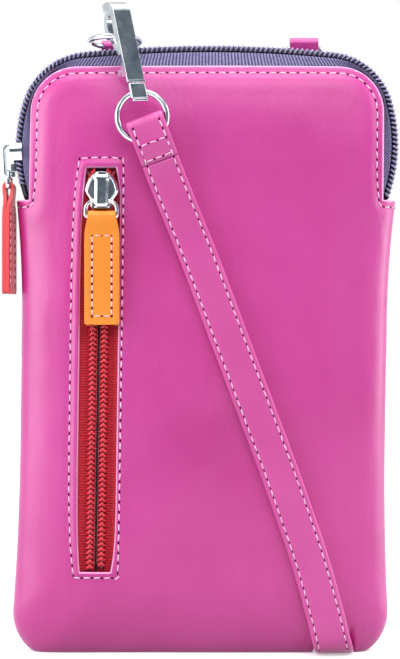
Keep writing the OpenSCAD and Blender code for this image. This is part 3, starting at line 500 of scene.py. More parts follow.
def sew(bm, line, pitch, length=None):
    # line: (place, normal) pairs; dashes of thread and dark marks of painted shade for the needle holes alternate
    # along it
    marks = runLengths([place for place, _ in line])
    count = max(1, round(marks[-1] / pitch))
    step = marks[-1] / count

    def at(s):
        k = min(max(bisect.bisect_right(marks, s) - 1, 0), len(line) - 2)
        f = (s - marks[k]) / max(marks[k + 1] - marks[k], 1e-9)
        return line[k][0].lerp(line[k + 1][0], f), line[k][1].lerp(line[k + 1][1], f).normalized()

    for k in range(count):
        for share, mesh, size in ((0.5, dash, (length or stitch["length"], stitch["wide"], stitch["high"])),
                                  (0.0, hole, (stitch["hole"] * 1.25, stitch["hole"], 0.14))):
            s = (k + share) * step
            place, normal = at(s)
            ahead, behind = at(min(s + 0.6, marks[-1]))[0], at(max(s - 0.6, 0))[0]
            run = ahead - behind
            run = (run - normal * run.dot(normal)).normalized()
            if share:
                place = place + normal * 0.02
                run = (Matrix.Rotation(random.uniform(-0.14, 0.14), 3, normal) @ run)
            side = normal.cross(run)
            matrix = Matrix.Translation(place) @ Matrix((run, side, normal)).transposed().to_4x4()
            first = len(bm.faces)
            stamp(bm, mesh, matrix @ Matrix.Diagonal((*size, 1)))
            # the hole's mark takes the painted shade
            if not share:
                markFaces(bm, first, 1)


def makeThreads(name, bm, body):
    return makePiece(name, bm, [thread, holeShade], body, ())


def strapSewing():
    bm = bmesh.new()
    a, b = strap["width"] / 2 - strap["stitchIn"], strap["thick"] / 2 - 0.2
    for side in (-1, 1):
        for face in (-1, 1):
            sew(bm, [(c + w * a * side + n * b * face, n * face) for c, w, n in strapStops], strap["stitchPitch"])
    return bm


def loopSewing(matrix):
    # both edges down each ply, and the two rows across that close the box
    bm = bmesh.new()
    a = strap["width"] / 2 - strap["stitchIn"]
    surface = strap["loopOpen"] + strap["ply"] - 0.06
    turned = matrix.to_3x3()
    for face in (-1, 1):
        rows = [(-2.6, surface), (-8.8, surface), (-10.8, 1.55), (-12.8, 1.15), (-14.0, 1.13)]
        for side in (-1, 1):
            sew(bm, [(matrix @ vec(a * side, -face * y, z), turned @ vec(0, -face, 0)) for z, y in rows],
                strap["stitchPitch"])
        for z, y in ((-8.2, surface), (-12.9, 1.16)):
            sew(bm, [(matrix @ vec(x, -face * y, z), turned @ vec(0, -face, 0)) for x in steps(4, -a, a)],
                strap["stitchPitch"])
    return bm


strapThreads = [makeThreads("strap_stitches", strapSewing(), "pouch"),
                makeThreads("strap_loop_stitches_left", loopSewing(leftLoopPlace), "pouch"),
                makeThreads("strap_loop_stitches_right", loopSewing(rightLoopPlace), "pouch")]
print("strap: made and sewn")

# ---- the pouch's leather form, in millimetres and before its slight lean
pouch = {
    "halfWidth": 56.8, "waist": 54.7, "base": 56.2, "baseR": 12.0, "baseFlare": 50.0, "stepFlare": 36.0,
    "sink": 1.6, "zipEnd": 134.9, "anchorLow": 56.27, "anchorHigh": 125.23, "deep": 10.2, "crown": 0.8,
    "lean": 0.8, "leanZ": 48.0, "notchX": 40.0, "notchHalf": 5.3, "notchRamp": 0.6, "notchHigh": 5.4,
    "notchFade": 16.0, "sideAt": (10.5, 151.0), "sideR": 47.0, "cornerR": 21.0, "shoulder": 30.5, "height": 181.5,
    "crownTop": 1.77, "edgeX": 52.75, "edgeTop": 174.6, "edgeR": 13.5, "edgeMid": (39.25, 161.1), "seamR": 11.2,
    "roll": 0.8, "wall": 1.1, "grid": 0.9, "backGrid": 1.5, "stitchPitch": 3.0,
}
pocket = {"left": -36.6, "right": -25.6, "low": 24.9, "high": 143.8, "stitchLeft": -39.4, "stitchRight": -24.3,
          "stitchLow": 23.1, "stitchHigh": 146.6, "chainX": -31.1, "crest": -10.3}


def leaned(x, z):
    return x + (z - pouch["leanZ"]) * math.tan(math.radians(pouch["lean"]))


def sideX(z):
    low, high = pouch["baseR"], pouch["zipEnd"]
    return (pouch["waist"] + (pouch["base"] - pouch["waist"]) * (1 - ramp(low, low + pouch["baseFlare"], z)) ** 2
            + (pouch["halfWidth"] - pouch["waist"]) * ramp(high - pouch["stepFlare"], high, z) ** 2)


# the zip's crest: a side curve, a corner curve and the top's flat crown
sideAt, sideR, cornerR = vec(*pouch["sideAt"], 0), pouch["sideR"], pouch["cornerR"]
lowTurn = -math.asin((pouch["sideAt"][1] - pouch["zipEnd"]) / sideR)
shoulderTurn = math.asin((pouch["shoulder"] - cornerR - pouch["crownTop"]) / (sideR - cornerR))
cornerAt = sideAt + (sideR - cornerR) * vec(math.cos(shoulderTurn), math.sin(shoulderTurn), 0)
topRise = pouch["height"] - cornerR - cornerAt.y
topR = cornerR + (cornerAt.x ** 2 + topRise ** 2) / (2 * topRise)
topAt = vec(0, pouch["height"] - topR, 0)
topTurn = math.atan2(cornerAt.y - topAt.y, cornerAt.x)
sideLength = sideR * (shoulderTurn - lowTurn)
cornerLength = cornerR * (topTurn - shoulderTurn)
crestHalf = sideLength + cornerLength + topR * (math.pi / 2 - topTurn)


def crestAt(s, out=0.0):
    # (x, z) on the zip's crest, s along it from its right end, moved outward by out
    flip = 1 if s <= crestHalf else -1
    s = s if flip > 0 else 2 * crestHalf - s
    if s < sideLength:
        c, r, a = sideAt, sideR, lowTurn + s / sideR
    elif s < sideLength + cornerLength:
        c, r, a = cornerAt, cornerR, shoulderTurn + (s - sideLength) / cornerR
    else:
        c, r, a = topAt, topR, topTurn + (s - sideLength - cornerLength) / topR
    return flip * (c.x + (r + out) * math.cos(a)), c.y + (r + out) * math.sin(a)


cornerX = sideX(pouch["baseR"]) - pouch["baseR"]
seamLine = [(x, -pouch["sink"]) for x in steps(60, 0, cornerX)]
seamLine += [(cornerX + pouch["baseR"] * math.cos(a), pouch["baseR"] + (pouch["baseR"] + pouch["sink"]) * math.sin(a))
             for a in steps(30, -math.pi / 2, 0)[1:]]
seamLine += [(sideX(z), z) for z in steps(90, pouch["baseR"], pouch["zipEnd"])[1:]]
seamLine += [crestAt(s, -0.7) for s in steps(90, sideLength / 2, crestHalf)]


def polarTable(anchorZ, points):
    rows = sorted((math.atan2(z - anchorZ, x), math.hypot(x, z - anchorZ)) for x, z in points)
    return [a for a, _ in rows], [r for _, r in rows]


lowTable = polarTable(pouch["anchorLow"], [p for p in seamLine if p[1] <= pouch["anchorLow"] + 1])
highTable = polarTable(pouch["anchorHigh"], [p for p in seamLine if p[1] >= pouch["anchorHigh"] - 1])


def reachShare(x, z):
    # 0 on the seam, 1 on the middle line
    x = abs(x)
    if pouch["anchorLow"] <= z <= pouch["anchorHigh"]:
        return 1 - x / sideX(z)
    anchorZ, (turns, reaches) = (pouch["anchorLow"], lowTable) if z < 90 else (pouch["anchorHigh"], highTable)
    turn, r = math.atan2(z - anchorZ, x), math.hypot(x, z - anchorZ)
    k = min(max(bisect.bisect_right(turns, turn) - 1, 0), len(turns) - 2)
    f = min(1, max(0, (turn - turns[k]) / max(turns[k + 1] - turns[k], 1e-9)))
    return 1 - r / mix(reaches[k], reaches[k + 1], f)


def formDepth(x, z):
    t = max(0.0, reachShare(x, z))
    return pouch["deep"] * (math.sqrt(1 - (1 - t / 0.5) ** 2) if t < 0.5 else 1) + pouch["crown"] * ramp(0.5, 1, t)


def zipEdgeGap(x, z):
    # distance inward from the edge beside the zip and from the step below its end
    x, r = abs(x), pouch["edgeR"]
    if z <= pouch["zipEnd"]:
        return math.hypot(max(pouch["edgeX"] - x, 0), pouch["zipEnd"] - z)
    a, b = x - (pouch["edgeX"] - r), z - (pouch["edgeTop"] - r)
    return r - math.hypot(max(a, 0), max(b, 0)) - min(max(a, b), 0)


def pocketSides(z):
    share = (z - 84.4) / 59.5
    left = pocket["left"] + (1.4 if share > 0 else 0.95) * abs(share) ** 6
    right = pocket["right"] + 0.1 - 1.35 * max(0, -share) ** 10 - 1.3 * ramp(0.87, 1.0, share) ** 1.3
    return left, right


def pocketGap(x, z):
    left, right = pocketSides(z)
    return math.hypot(max(left - x, 0, x - right), max(pocket["low"] - z, 0, z - pocket["high"]))


# the lines of stitching on the front, as (x, z)
zipSeam = [(56.5, 132.7), (53.2, 132.7), (52.1, 132.95), (51.5, 133.6), (51.2, 135.2), (50.8, 138.5), (50.5, 143)]
midX, midZ = pouch["edgeMid"]
zipSeam += [(midX + pouch["seamR"] * math.cos(a), midZ + pouch["seamR"] * math.sin(a))
            for a in steps(14, 0, math.pi / 2)]
zipSeam += [(x, 172.3) for x in steps(24, midX, -midX)[1:-1]]
zipSeam += [(-x, z) for x, z in zipSeam[20::-1]]
pocketSeam = [(pocket["stitchLeft"] + 1.9 * abs((z - 84.8) / 61.7) ** 5, z)
              for z in steps(40, pocket["stitchHigh"], pocket["stitchLow"])]
pocketSeam += [(x, pocket["stitchLow"]) for x in steps(4, -37.1, -24.9)[1:-1]]
pocketSeam += [(pocket["stitchRight"] - 0.25 * abs((z - 84.8) / 61.7) ** 6, z)
               for z in steps(40, pocket["stitchLow"], pocket["stitchHigh"])]
pocketSeam += [(x, pocket["stitchHigh"] + 0.35) for x in steps(4, -25.2, -37.1)[1:-1]]
pocketSeam.append(pocketSeam[0])


def lineGap(line, x, z):
    best = 9.0
    for (ax, az), (bx, bz) in zip(line, line[1:]):
        if min(ax, bx) - best < x < max(ax, bx) + best and min(az, bz) - best < z < max(az, bz) + best:
            dx, dz = bx - ax, bz - az
            f = min(1, max(0, ((x - ax) * dx + (z - az) * dz) / max(dx * dx + dz * dz, 1e-9)))
            best = min(best, math.hypot(x - ax - f * dx, z - az - f * dz))
    return best


def panelDepth(x, z, front):
    # outward depth of the leather's face, with rolled edges, stitch grooves and soft hollows
    depth = formDepth(x, z) + 0.15
    gap = zipEdgeGap(x, z)
    soft = ramp(0.0, 6.0, depth)
    depth += soft * (0.4 * noise.noise(vec(x, z, 0 if front else 50) / 31) + 0.14 * noise.noise(vec(x, z, 9) / 12))
    depth += 0.22 * soft * math.exp(-((gap - 5.5) / 2.6) ** 2)
    if gap < 9:
        depth -= 0.34 * math.exp(-(lineGap(zipSeam, x, z) / 0.75) ** 2)
    roll = pouch["roll"]
    if front:
        mouth = pocketGap(x, z)
        if mouth < 9:
            proud = mix(0.2, 0.45, ramp(26, 36, z))
            depth += proud * math.exp(-((mouth - 1.1) / 1.6) ** 2) * ramp(0, 0.4, mouth)
            depth -= 0.36 * math.exp(-(lineGap(pocketSeam, x, z) / 0.75) ** 2)
        gap = min(gap, mouth)
    if gap < roll:
        depth -= roll - math.sqrt(max(roll ** 2 - (roll - gap) ** 2, 0))
    return max(depth, 0.15)


def panelSpot(c, r, front):
    # nominal grid place (c, r) to the form's (x, z)
    a, side = abs(c), (1 if c >= 0 else -1)
    high, edge, r0 = pouch["zipEnd"], pouch["edgeX"], pouch["edgeR"]
    if r < pouch["baseR"] and a > cornerX:
        f, g = (a - cornerX) / (pouch["halfWidth"] - cornerX), (pouch["baseR"] - r) / (pouch["baseR"] + pouch["sink"])
        x = cornerX + pouch["baseR"] * f * math.sqrt(max(1 - g * g / 2, 0))
        z = pouch["baseR"] - (pouch["baseR"] + pouch["sink"]) * g * math.sqrt(max(1 - f * f / 2, 0))
    elif r <= high and a > cornerX:
        x, z = cornerX + (a - cornerX) / (pouch["halfWidth"] - cornerX) * (sideX(r) - cornerX), r
    elif r > pouch["edgeTop"] - r0 and a > edge - r0:
        f, g = (a - edge + r0) / r0, (r - pouch["edgeTop"] + r0) / r0
        x = edge - r0 + r0 * f * math.sqrt(max(1 - g * g / 2, 0))
        z = pouch["edgeTop"] - r0 + r0 * g * math.sqrt(max(1 - f * f / 2, 0))
    else:
        x, z = a, r
    x *= side
    if front and 15 < r < 156:
        left, right = pocketSides(min(max(r, pocket["low"]), pocket["high"]))
        x += (left - pocket["left"]) * math.exp(-((c - pocket["left"]) / 3) ** 2)
        x += (right - pocket["right"]) * math.exp(-((c - pocket["right"]) / 3) ** 2)
    return x, z


def panelPoint(x, z, front):
    # the leather's face at (x, z), leaned, and pushed up where the strap passes below
    depth = panelDepth(x, z, front)
    notch = pouch["notchHigh"] * ease(1 - ramp(0, pouch["notchRamp"], abs(x - pouch["notchX"]) - pouch["notchHalf"]))
    z += notch * (1 - ramp(-pouch["sink"], pouch["notchFade"], z)) ** 2
    return vec(leaned(x, z), -depth if front else depth, max(z, 0.0))


def panelNormal(x, z, front):
    across = panelPoint(x + 0.3, z, front) - panelPoint(x - 0.3, z, front)
    up = panelPoint(x, z + 0.3, front) - panelPoint(x, z - 0.3, front)
    return (across.cross(up) if front else up.cross(across)).normalized()


def filled(stops, pitch):
    # grid lines at the stops and evenly between them, none further apart than the pitch
    found = [stops[0]]
    for a, b in zip(stops, stops[1:]):
        found += steps(max(1, math.ceil((b - a) / pitch - 1e-6)), a, b)[1:]
    return found


def makePanel(name, front, pitch, node):
    rolls = (0.1, 0.25, 0.45, 0.8, 1.3, 1.9)
    edge, top, high = pouch["edgeX"], pouch["edgeTop"], pouch["zipEnd"]
    half = [cornerX] + [edge - d for d in rolls[::-1]] + [edge, 53.9, 54.9, 55.6, 56.1, 56.45, 56.65, 56.76, 56.8]
    middle = []
    if front:
        left, right = pocket["left"], pocket["right"]
        middle = ([left - d for d in rolls[::-1]] + [left, right] + [right + d for d in rolls])
    columns = filled([-x for x in half[::-1]] + middle + half, pitch)
    bottom = [-1.6, -1.55, -1.4, -1.15, -0.8, -0.35, 0.2, 0.9, 1.8, 12]
    rows = bottom + ([pocket["low"] - d for d in rolls[::-1]] + [pocket["low"], pocket["high"] - 22] if front else [])
    rows += [high - d for d in rolls[::-1]] + [high]
    rows += ([pocket["high"]] + [pocket["high"] + d for d in rolls] if front else [])
    rows = filled(rows + [top - d for d in rolls[::-1]] + [top], pitch)
    flatSpots = {}

    def place(i, j):
        x, z = panelSpot(columns[i], rows[j], front)
        flatSpots[i, j] = x, z
        return panelPoint(x, z, front)

    bm, spots = mappedGrid(len(columns), len(rows), place)
    doomed = []
    for face in bm.faces:
        cells = [spots[v] for v in face.verts]
        c = sum(columns[i] for i, j in cells) / 4
        r = sum(rows[j] for i, j in cells) / 4
        wing = abs(c) > edge and r > high
        mouth = front and pocket["left"] < c < pocket["right"] and pocket["low"] < r < pocket["high"]
        if wing or mouth:
            doomed.append(face)
    bmesh.ops.delete(bm, geom=doomed, context="FACES")
    if not front:
        bmesh.ops.reverse_faces(bm, faces=bm.faces)
    faceFront(bm, front)
    for face in bm.faces:
        x, z = [sum(flatSpots[spots[v]][k] for v in face.verts) / 4 for k in (0, 1)]
        gap = min(zipEdgeGap(x, z), pocketGap(x, z) if front else 9)
        # painted highlight: faces within half a millimetre of the zip's and the pocket's rolled edges take the paler
        # leather
        face.material_index = 1 if 0.06 < gap < 0.5 else 0
    addWall(makePiece(name, bm, [pinkLeather, edgeHighlightLeather], "pouch", [node]), pouch["wall"])


def panelSeam(line, front):
    fine = []
    for (ax, az), (bx, bz) in zip(line, line[1:]):
        n = max(1, round(math.hypot(bx - ax, bz - az) / 0.8))
        fine += [(mix(ax, bx, k / n), mix(az, bz, k / n)) for k in range(n)]
    fine.append(line[-1])
    return [(panelPoint(x, z, front) + panelNormal(x, z, front) * 0.05, panelNormal(x, z, front)) for x, z in fine]


makePanel("leather_front", True, pouch["grid"], "front_panel")
makePanel("leather_back", False, pouch["backGrid"], "back_panel")
for name, front, seams in (("front_stitches", True, (zipSeam, pocketSeam)), ("back_stitches", False, (zipSeam,))):
    seamBm = bmesh.new()
    for seam in seams:
        sew(seamBm, panelSeam(seam, front), pouch["stitchPitch"])
    makeThreads(name, seamBm, "pouch")
print("leather: panels and their stitching")

# ---- main zip: tapes, coils and cords
zipSet = {"pitch": 1.48, "loops": 122, "wire": 0.27, "tapeIn": 2.3, "under": 3.4, "thick": 0.5,
          "cordR": 0.98, "cordIn": 1.45, "cordDeep": 1.75}
edgeHalf = [(pouch["edgeX"], z, 0.0) for z in steps(14, pouch["zipEnd"] - 5, midZ)]
edgeHalf += [(midX + pouch["edgeR"] * math.cos(a), midZ + pouch["edgeR"] * math.sin(a), a)
             for a in steps(20, 0, math.pi / 2)[1:]]
edgeHalf += [(x, pouch["edgeTop"], math.pi / 2) for x in steps(14, midX, 0)[1:]]


def tapeRows(front):
    # pairs the crest with the leather's edge, station by station
    sideStops = [mix(-4.5, sideLength, f) for f in steps(14, 0, 1)]
    stops = sideStops + [mix(sideLength, sideLength + cornerLength, f) for f in steps(20, 0, 1)[1:]]
    stops += [mix(sideLength + cornerLength, crestHalf, f) for f in steps(14, 0, 1)[1:]]
    rows = []
    sign = -1 if front else 1
    for s, (ex, ez, turn) in zip(stops, edgeHalf):
        near = crestAt(max(s, 0), -zipSet["tapeIn"])
        if s < 0:
            near = (near[0], near[1] + s)
        dx, dz = math.cos(turn), math.sin(turn)
        rim = formDepth(ex - 0.2 * dx, ez - 0.2 * dz) + 0.15 - pouch["roll"] - pouch["wall"]
        inner = (ex - zipSet["under"] * dx, ez - zipSet["under"] * dz)
        deep = formDepth(*inner) + 0.15 - pouch["wall"] - 0.15
        rows.append([(near, 0.45), (near, 1.9), (near, 3.0)]
                    + [((mix(near[0], ex, f), mix(near[1], ez, f)), mix(3.5, rim, g))
                       for f, g in ((0.1, 0), (0.45, 0.4), (0.8, 0.8))] + [((ex, ez), rim), (inner, deep)])
    rows += [[((-x, z), y) for (x, z), y in row] for row in rows[-2::-1]]
    return [[vec(leaned(x, z), sign * y, z) for (x, z), y in row] for row in rows]


def makeTape(name, front, node):
    rows = tapeRows(front)
    runs = runLengths([row[3] for row in rows])
    wide = [0, 1.5, 2.6, 3.2, 4.4, 5.6, 6.8, 10.2]
    bm = mappedGrid(len(wide), len(rows), lambda i, j: rows[j][i], lambda i, j: (wide[i] * mm, runs[j] * mm))[0]
    bmesh.ops.subdivide_edges(bm, edges=bm.edges, cuts=1, use_grid_fill=True)
    bmesh.ops.recalc_face_normals(bm, faces=bm.faces)
    middle = [f for f in bm.faces if f.calc_center_median().z > 178]
    if sum(f.normal.z for f in middle) < 0:
        bmesh.ops.reverse_faces(bm, faces=bm.faces)
    # painted shade: the tape's strip under the coil takes the near-black core material
    for face in bm.faces:  # the strip under the coil lies in its shade
        across = sum(loop[bm.loops.layers.uv.active].uv.x for loop in face.loops) / len(face.loops)
        face.material_index = 1 if 1.0 * mm < across < 2.9 * mm else 0
    addWall(makePiece(name, bm, [navyTape, navyCoreShade], "pouch", [node]), zipSet["thick"])


def bentTube(points, r, sides):
    return sweep(wireStations([vec(p) for p in points]), roundSection(r, sides))


# one loop of the coil in its own frame: x outward from the chain's middle, y down from its crest, z along
loopPath = [(1.0, 2.0, 0.85), (2.5, 2.0, 0.85), (3.3, 1.65, 0.75), (3.4, 1.15, 0.42), (3.2, 0.68, 0.1),
            (2.3, 0.38, 0), (0.9, 0.36, 0), (-0.4, 0.5, 0.05), (-0.85, 1.1, 0.1)]
coilLoop = stampMesh(bentTube(loopPath, zipSet["wire"], 6), "loop")


def makeCoil(name, front, node):
    bm = bmesh.new()
    sign = -1 if front else 1
    for k in range(zipSet["loops"]):
        s = (k + 0.5) * zipSet["pitch"] + (0 if front else zipSet["pitch"] / 2)
        if s > 2 * crestHalf - 1:
            break
        here, there, deep = crestAt(s), crestAt(s + 0.5), crestAt(s, -1)
        x0, z0 = leaned(*here), here[1]
        down = vec(leaned(*deep) - x0, 0, deep[1] - z0).normalized()
        along = vec(leaned(*there) - x0, 0, there[1] - z0).normalized()
        if not front:
            along = -along
        matrix = Matrix.Translation((x0, 0, z0)) @ Matrix((vec(0, sign, 0), down, along)).transposed().to_4x4()
        stamp(bm, coilLoop, matrix)
    # the core cord through the loops; its near-black colour paints the shade in the gaps
    first = len(bm.faces)
    line = [crestAt(s, -zipSet["cordIn"]) for s in steps(120, 0, 2 * crestHalf)]
    cord = [(vec(leaned(x, z), sign * zipSet["cordDeep"], z)) for x, z in line]
    core = sweep(wireStations(cord, (0, 1, 0)), roundSection(zipSet["cordR"], 8))
    stamp(bm, stampMesh(core, "core"), Matrix.Identity(4))
    markFaces(bm, first, 1)
    bmesh.ops.recalc_face_normals(bm, faces=bm.faces)
    makePiece(name, bm, [navyCoil, navyCoreShade], "pouch", [node])


makeTape("zip_tape_front_cloth", True, "zip_tape_front")
makeTape("zip_tape_back_cloth", False, "zip_tape_back")
makeCoil("zip_coil_front_wire", True, "zip_coil_front")
makeCoil("zip_coil_back_wire", False, "zip_coil_back")
print("main zip: tapes and coils")

# ---- pocket zip, measured across from the chain's middle, out from its crest and along it
pocketZip = {"loops": 76, "pitch": 1.46, "low": 26.5, "wire": 0.45, "tapeLeft": 6.6, "tapeRight": 8.4}


def pocketPlace(a, out, z):
    return vec(leaned(pocket["chainX"] + a, z), pocket["crest"] - out, z)


def coilParted(z):
    # how far the coil has left the chain above the slider: 0 up to the slider, about 1 where it ends
    return max(0.0, (z - 137.8) / 5.0)


# one loop: across, in from the crest, and along
archPath = [(2.7, 1.9, -0.6), (2.6, 0.95, -0.5), (2.2, 0.48, -0.3), (1.6, 0.3, 0.3), (1.15, 0.48, -0.25),
            (0.9, 0.9, -0.5), (0.82, 1.6, -0.55)]
headBm = bmesh.new()
bmesh.ops.create_icosphere(headBm, subdivisions=1, radius=0.16)
head = stampMesh(headBm, "head")


def makePocketCoil(name, side, node):
    bm = bmesh.new()
    tube = bentTube([(a * side, -h, s) for a, h, s in archPath], pocketZip["wire"], 6)
    arch = stampMesh(tube, "arch")
    for k in range(pocketZip["loops"]):
        z = pocketZip["low"] + (k + (0.5 if side > 0 else 0)) * pocketZip["pitch"]
        parted = coilParted(z)
        spot = pocketPlace(side * 2.2 * parted ** 1.5, 0.0, z)
        if parted > 1.15:
            break
        turn = Matrix.Rotation(side * 0.5 * min(parted, 1), 4, "Y")
        stamp(bm, arch, Matrix.Translation(spot) @ turn @ Matrix(((1, 0, 0), (0, -1, 0), (0, 0, 1))).to_4x4())
        # pale dots of painted highlight on each loop's head
        for step in (0, 0.5):
            before = len(bm.faces)
            stamp(bm, head, Matrix.Translation(spot + vec(side * 0.43, 0.7, (step + 0.25) * pocketZip["pitch"])))
            markFaces(bm, before, 2)
    # the core cord between the rows; its dark red paints the shade in the chain's middle
    first = len(bm.faces)
    core = [pocketPlace(side * (1.75 + 2.2 * coilParted(z) ** 1.5), -1.5, z) for z in steps(60, 25.5, 143.4)]
    stamp(bm, stampMesh(sweep(wireStations(core, (1, 0, 0)), roundSection(0.8, 8)), "core"), Matrix.Identity(4))
    markFaces(bm, first, 1)
    bmesh.ops.recalc_face_normals(bm, faces=bm.faces)
    makePiece(name, bm, [redCoil, redCoreShade, redHeadGlint], "pouch", [node])


def makePocketTape(name, side, reach, rise, node):
    # flat under the chain, raised under the leather, with the coil's sewing standing on it
    rows = steps(160, 21.3, 147.4)
    across = [0.4, 1.6, 2.9, 3.6, 4.1, 4.5, 4.9, 5.6, reach]

    def place(i, j):
        a, z = across[i], rows[j]
        h = 2.55 - rise * ease(ramp(4.0, 5.2, a))
        h -= 0.28 * math.exp(-((a - 4.3) / 0.35) ** 2) * (0.5 + 0.5 * math.cos(z / 0.79 * math.pi))
        parted = max(0.0, (z - 139.0) / 6.0)
        return pocketPlace(side * (a + 2.0 * min(parted, 1) ** 1.4 * (1 - ramp(0.4, 6, a))), -h, z)

    bm = mappedGrid(len(across), len(rows), place, lambda i, j: (across[i] * mm, rows[j] * mm))[0]
    faceFront(bm)
    addWall(makePiece(name, bm, [redTape], "pouch", [node]), zipSet["thick"])


def coilEnds():
    # the two ends, spread and curled above the slider
    bm = bmesh.new()
    for side in (-1, 1):
        for k, (a, z) in enumerate(((3.35, 140.6), (2.95, 141.6), (2.5, 142.5), (1.95, 143.2))):
            bmesh.ops.create_icosphere(bm, subdivisions=2, radius=0.72, matrix=Matrix.Translation(
                pocketPlace(side * a, -1.1, z)) @ Matrix.Rotation(side * (0.9 - 0.25 * k), 4, "Y") @ Matrix.Diagonal(
                    (0.62, 0.9, 1.15, 1)))
    makePiece("pocket_coil_ends", bm, [redCoil], "pouch", ())


coilEnds()
makePocketTape("pocket_tape_left_cloth", -1, pocketZip["tapeLeft"], 0.35, "pocket_tape_left")
makePocketTape("pocket_tape_right_cloth", 1, pocketZip["tapeRight"], 0.85, "pocket_tape_right")
makePocketCoil("pocket_coil_left_wire", -1, "pocket_coil_left")
makePocketCoil("pocket_coil_right_wire", 1, "pocket_coil_right")
print("pocket zip: tapes and coils")

# ---- linings: thin cloth just inside the leather, and the pocket bag's back sheet
liningSet = {"inset": 1.9, "under": 4.4, "flatFront": 4.2, "thick": 0.4, "bag": (-47, 31, 18.5, 150.2, -4.0)}


def makeLining(name, front, node):
    rows = steps(60, 0.8, pouch["edgeTop"] - liningSet["under"])
    columns = steps(40, -1, 1)

    def place(i, j):
        z = rows[j]
        half = pouch["edgeX"] - liningSet["under"]
        drop = max(0.0, z - (pouch["edgeTop"] - 13.5)) / (13.5 - liningSet["under"])
        half -= 9.0 * (1 - math.sqrt(max(0.0, 1 - min(drop, 1) ** 2)))
        if z < 14:
            half -= 11 * (1 - math.sqrt(max(0.0, 1 - ((14 - z) / 14) ** 2)))
        x = columns[i] * half
        deep = max(0.6, formDepth(x, z) - liningSet["inset"])
        if front:
            deep = min(deep, liningSet["flatFront"])
        lift = pouch["notchHigh"] * ease(1 - ramp(0, 3, abs(x - pouch["notchX"]) - pouch["notchHalf"]))
        rise = (lift + 1.5) * (1 - ramp(0, pouch["notchFade"], z)) ** 2
        return vec(leaned(x, z), -deep if front else deep, z + rise)

    bm = mappedGrid(len(columns), len(rows), place)[0]
    faceFront(bm, front)
    addWall(makePiece(name, bm, [lining], "pouch", [node]), liningSet["thick"])


makeLining("lining_front_cloth", True, "lining_front")
makeLining("lining_back_cloth", False, "lining_back")
x0, x1, z0, z1, bagY = liningSet["bag"]
bagBm, _ = mappedGrid(30, 40, lambda i, j: vec(leaned(mix(x0, x1, i / 29), 90), bagY - 0.25 * noise.noise(
    vec(i / 9, j / 9, 3)), mix(z0, z1, j / 39)))
addWall(makePiece("pocket_bag_cloth", bagBm, [lining], "pouch", ["pocket_lining"]),
        liningSet["thick"], 0)
print("linings: made")

# ---- metal: bevelled copies of the CAD's own castings, and plated wire
def castingCopy(node, width):
    # the CAD solid with its loose triangles merged and its edges broken
    bm = bmesh.new()
    bm.from_mesh(nodes[node].data)
    bmesh.ops.remove_doubles(bm, verts=bm.verts, dist=1e-6)
    bmesh.ops.dissolve_limit(bm, angle_limit=math.radians(1), verts=bm.verts, edges=bm.edges)
    breakEdges(bm, width * mm, 25, 2)
    return bm


def bodyOf(node):
    return nodes[node]["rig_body"]


def makeCasting(name, bm, node, stands=(), unit=mm, material=nickel):
    # a bevelled piece on the node's body, with its flat faces kept flat
    piece = makePiece(name, bm, [material], bodyOf(node), stands, unit)
    even = piece.modifiers.new("even", "WEIGHTED_NORMAL")
    even.weight = 90
    return piece


castings = {"main_slider_crown": 0.25, "hook_left": 0.3, "hook_right": 0.3,
            "hook_gate_left": 0.2, "hook_gate_right": 0.2, "main_slider": 0.2}
metalPieces = {node: makeCasting(node + "_plated", castingCopy(node, width), node, [node], 1)
               for node, width in castings.items()}
# the left hook's broad polished band, in the hook's own frame: its spine at -x, its width along y
hookBand = {"eye": (-17.5, -14.9, 158.4), "lean": 11.6, "back": 10.0, "turn": 120.0, "drop": 2.9,
            "wide": (-1.7, 3.9), "faceX": -2.8, "backX": -0.35, "low": -0.9, "bendAt": (3.0, 19.6), "cornerR": 4.3}
hookLean = math.radians(hookBand["lean"])
hookPlace = Matrix.Translation(vec(hookBand["eye"]) + 7.5 * vec(-math.sin(hookLean), 0, math.cos(hookLean)))
hookPlace = hookPlace @ Matrix.Rotation(-hookLean, 4, "Y") @ Matrix.Rotation(math.radians(-hookBand["back"]), 4, "X")
hookPlace = hookPlace @ Matrix.Translation((0, 0, hookBand["drop"]))
hookPlace = hookPlace @ Matrix.Rotation(math.radians(hookBand["turn"]), 4, "Z")


def slab(bm, outline, wide, bevel, segments=3):
    # an outline in (x, z) drawn out along y, with its edges broken
    part = bmesh.new()
    face = part.faces.new([part.verts.new((x, wide[0], z)) for x, z in outline])
    grown = bmesh.ops.extrude_face_region(part, geom=[face])
    bmesh.ops.translate(part, verts=[v for v in grown["geom"] if isinstance(v, bmesh.types.BMVert)],
                        vec=(0, wide[1] - wide[0], 0))
    bmesh.ops.recalc_face_normals(part, faces=part.faces)
    breakEdges(part, bevel, 50, segments)
    stamp(bm, stampMesh(part, "slab"), Matrix.Identity(4))


bendX, bendZ = hookBand["bendAt"]
innerR, bandR = bendX - hookBand["backX"], hookBand["cornerR"]
bandLine = [(hookBand["faceX"], hookBand["low"])]
bandLine += [(hookBand["faceX"] + bandR * (1 - math.cos(a)), 21.1 + bandR * math.sin(a))
             for a in steps(12, 0, math.radians(88))]
bandLine += [(bendX + 0.4, 25.5), (bendX + 0.4, bendZ + innerR + 0.1)]
bandLine += [(bendX - innerR * math.cos(a), bendZ + innerR * math.sin(a)) for a in steps(12, math.radians(90), 0)]
bandLine += [(hookBand["backX"], 8.3), (-1.9, 7.9), (-1.9, 2.8), (-2.62, 2.5), (-2.62, hookBand["low"])]
bandBm = bmesh.new()
slab(bandBm, bandLine, hookBand["wide"], 0.12)
slab(bandBm, [(-3.05, -1.0), (-3.05, -0.35), (-2.6, -0.35), (-2.6, -1.0)], (-1.9, 4.0), 0.12)
eyeBm = bmesh.new()
slab(eyeBm, [(-3.0, -5.9), (-3.0, -1.2), (-2.1, -1.2), (-2.1, -5.9)], (-1.6, 3.7), 0.35)
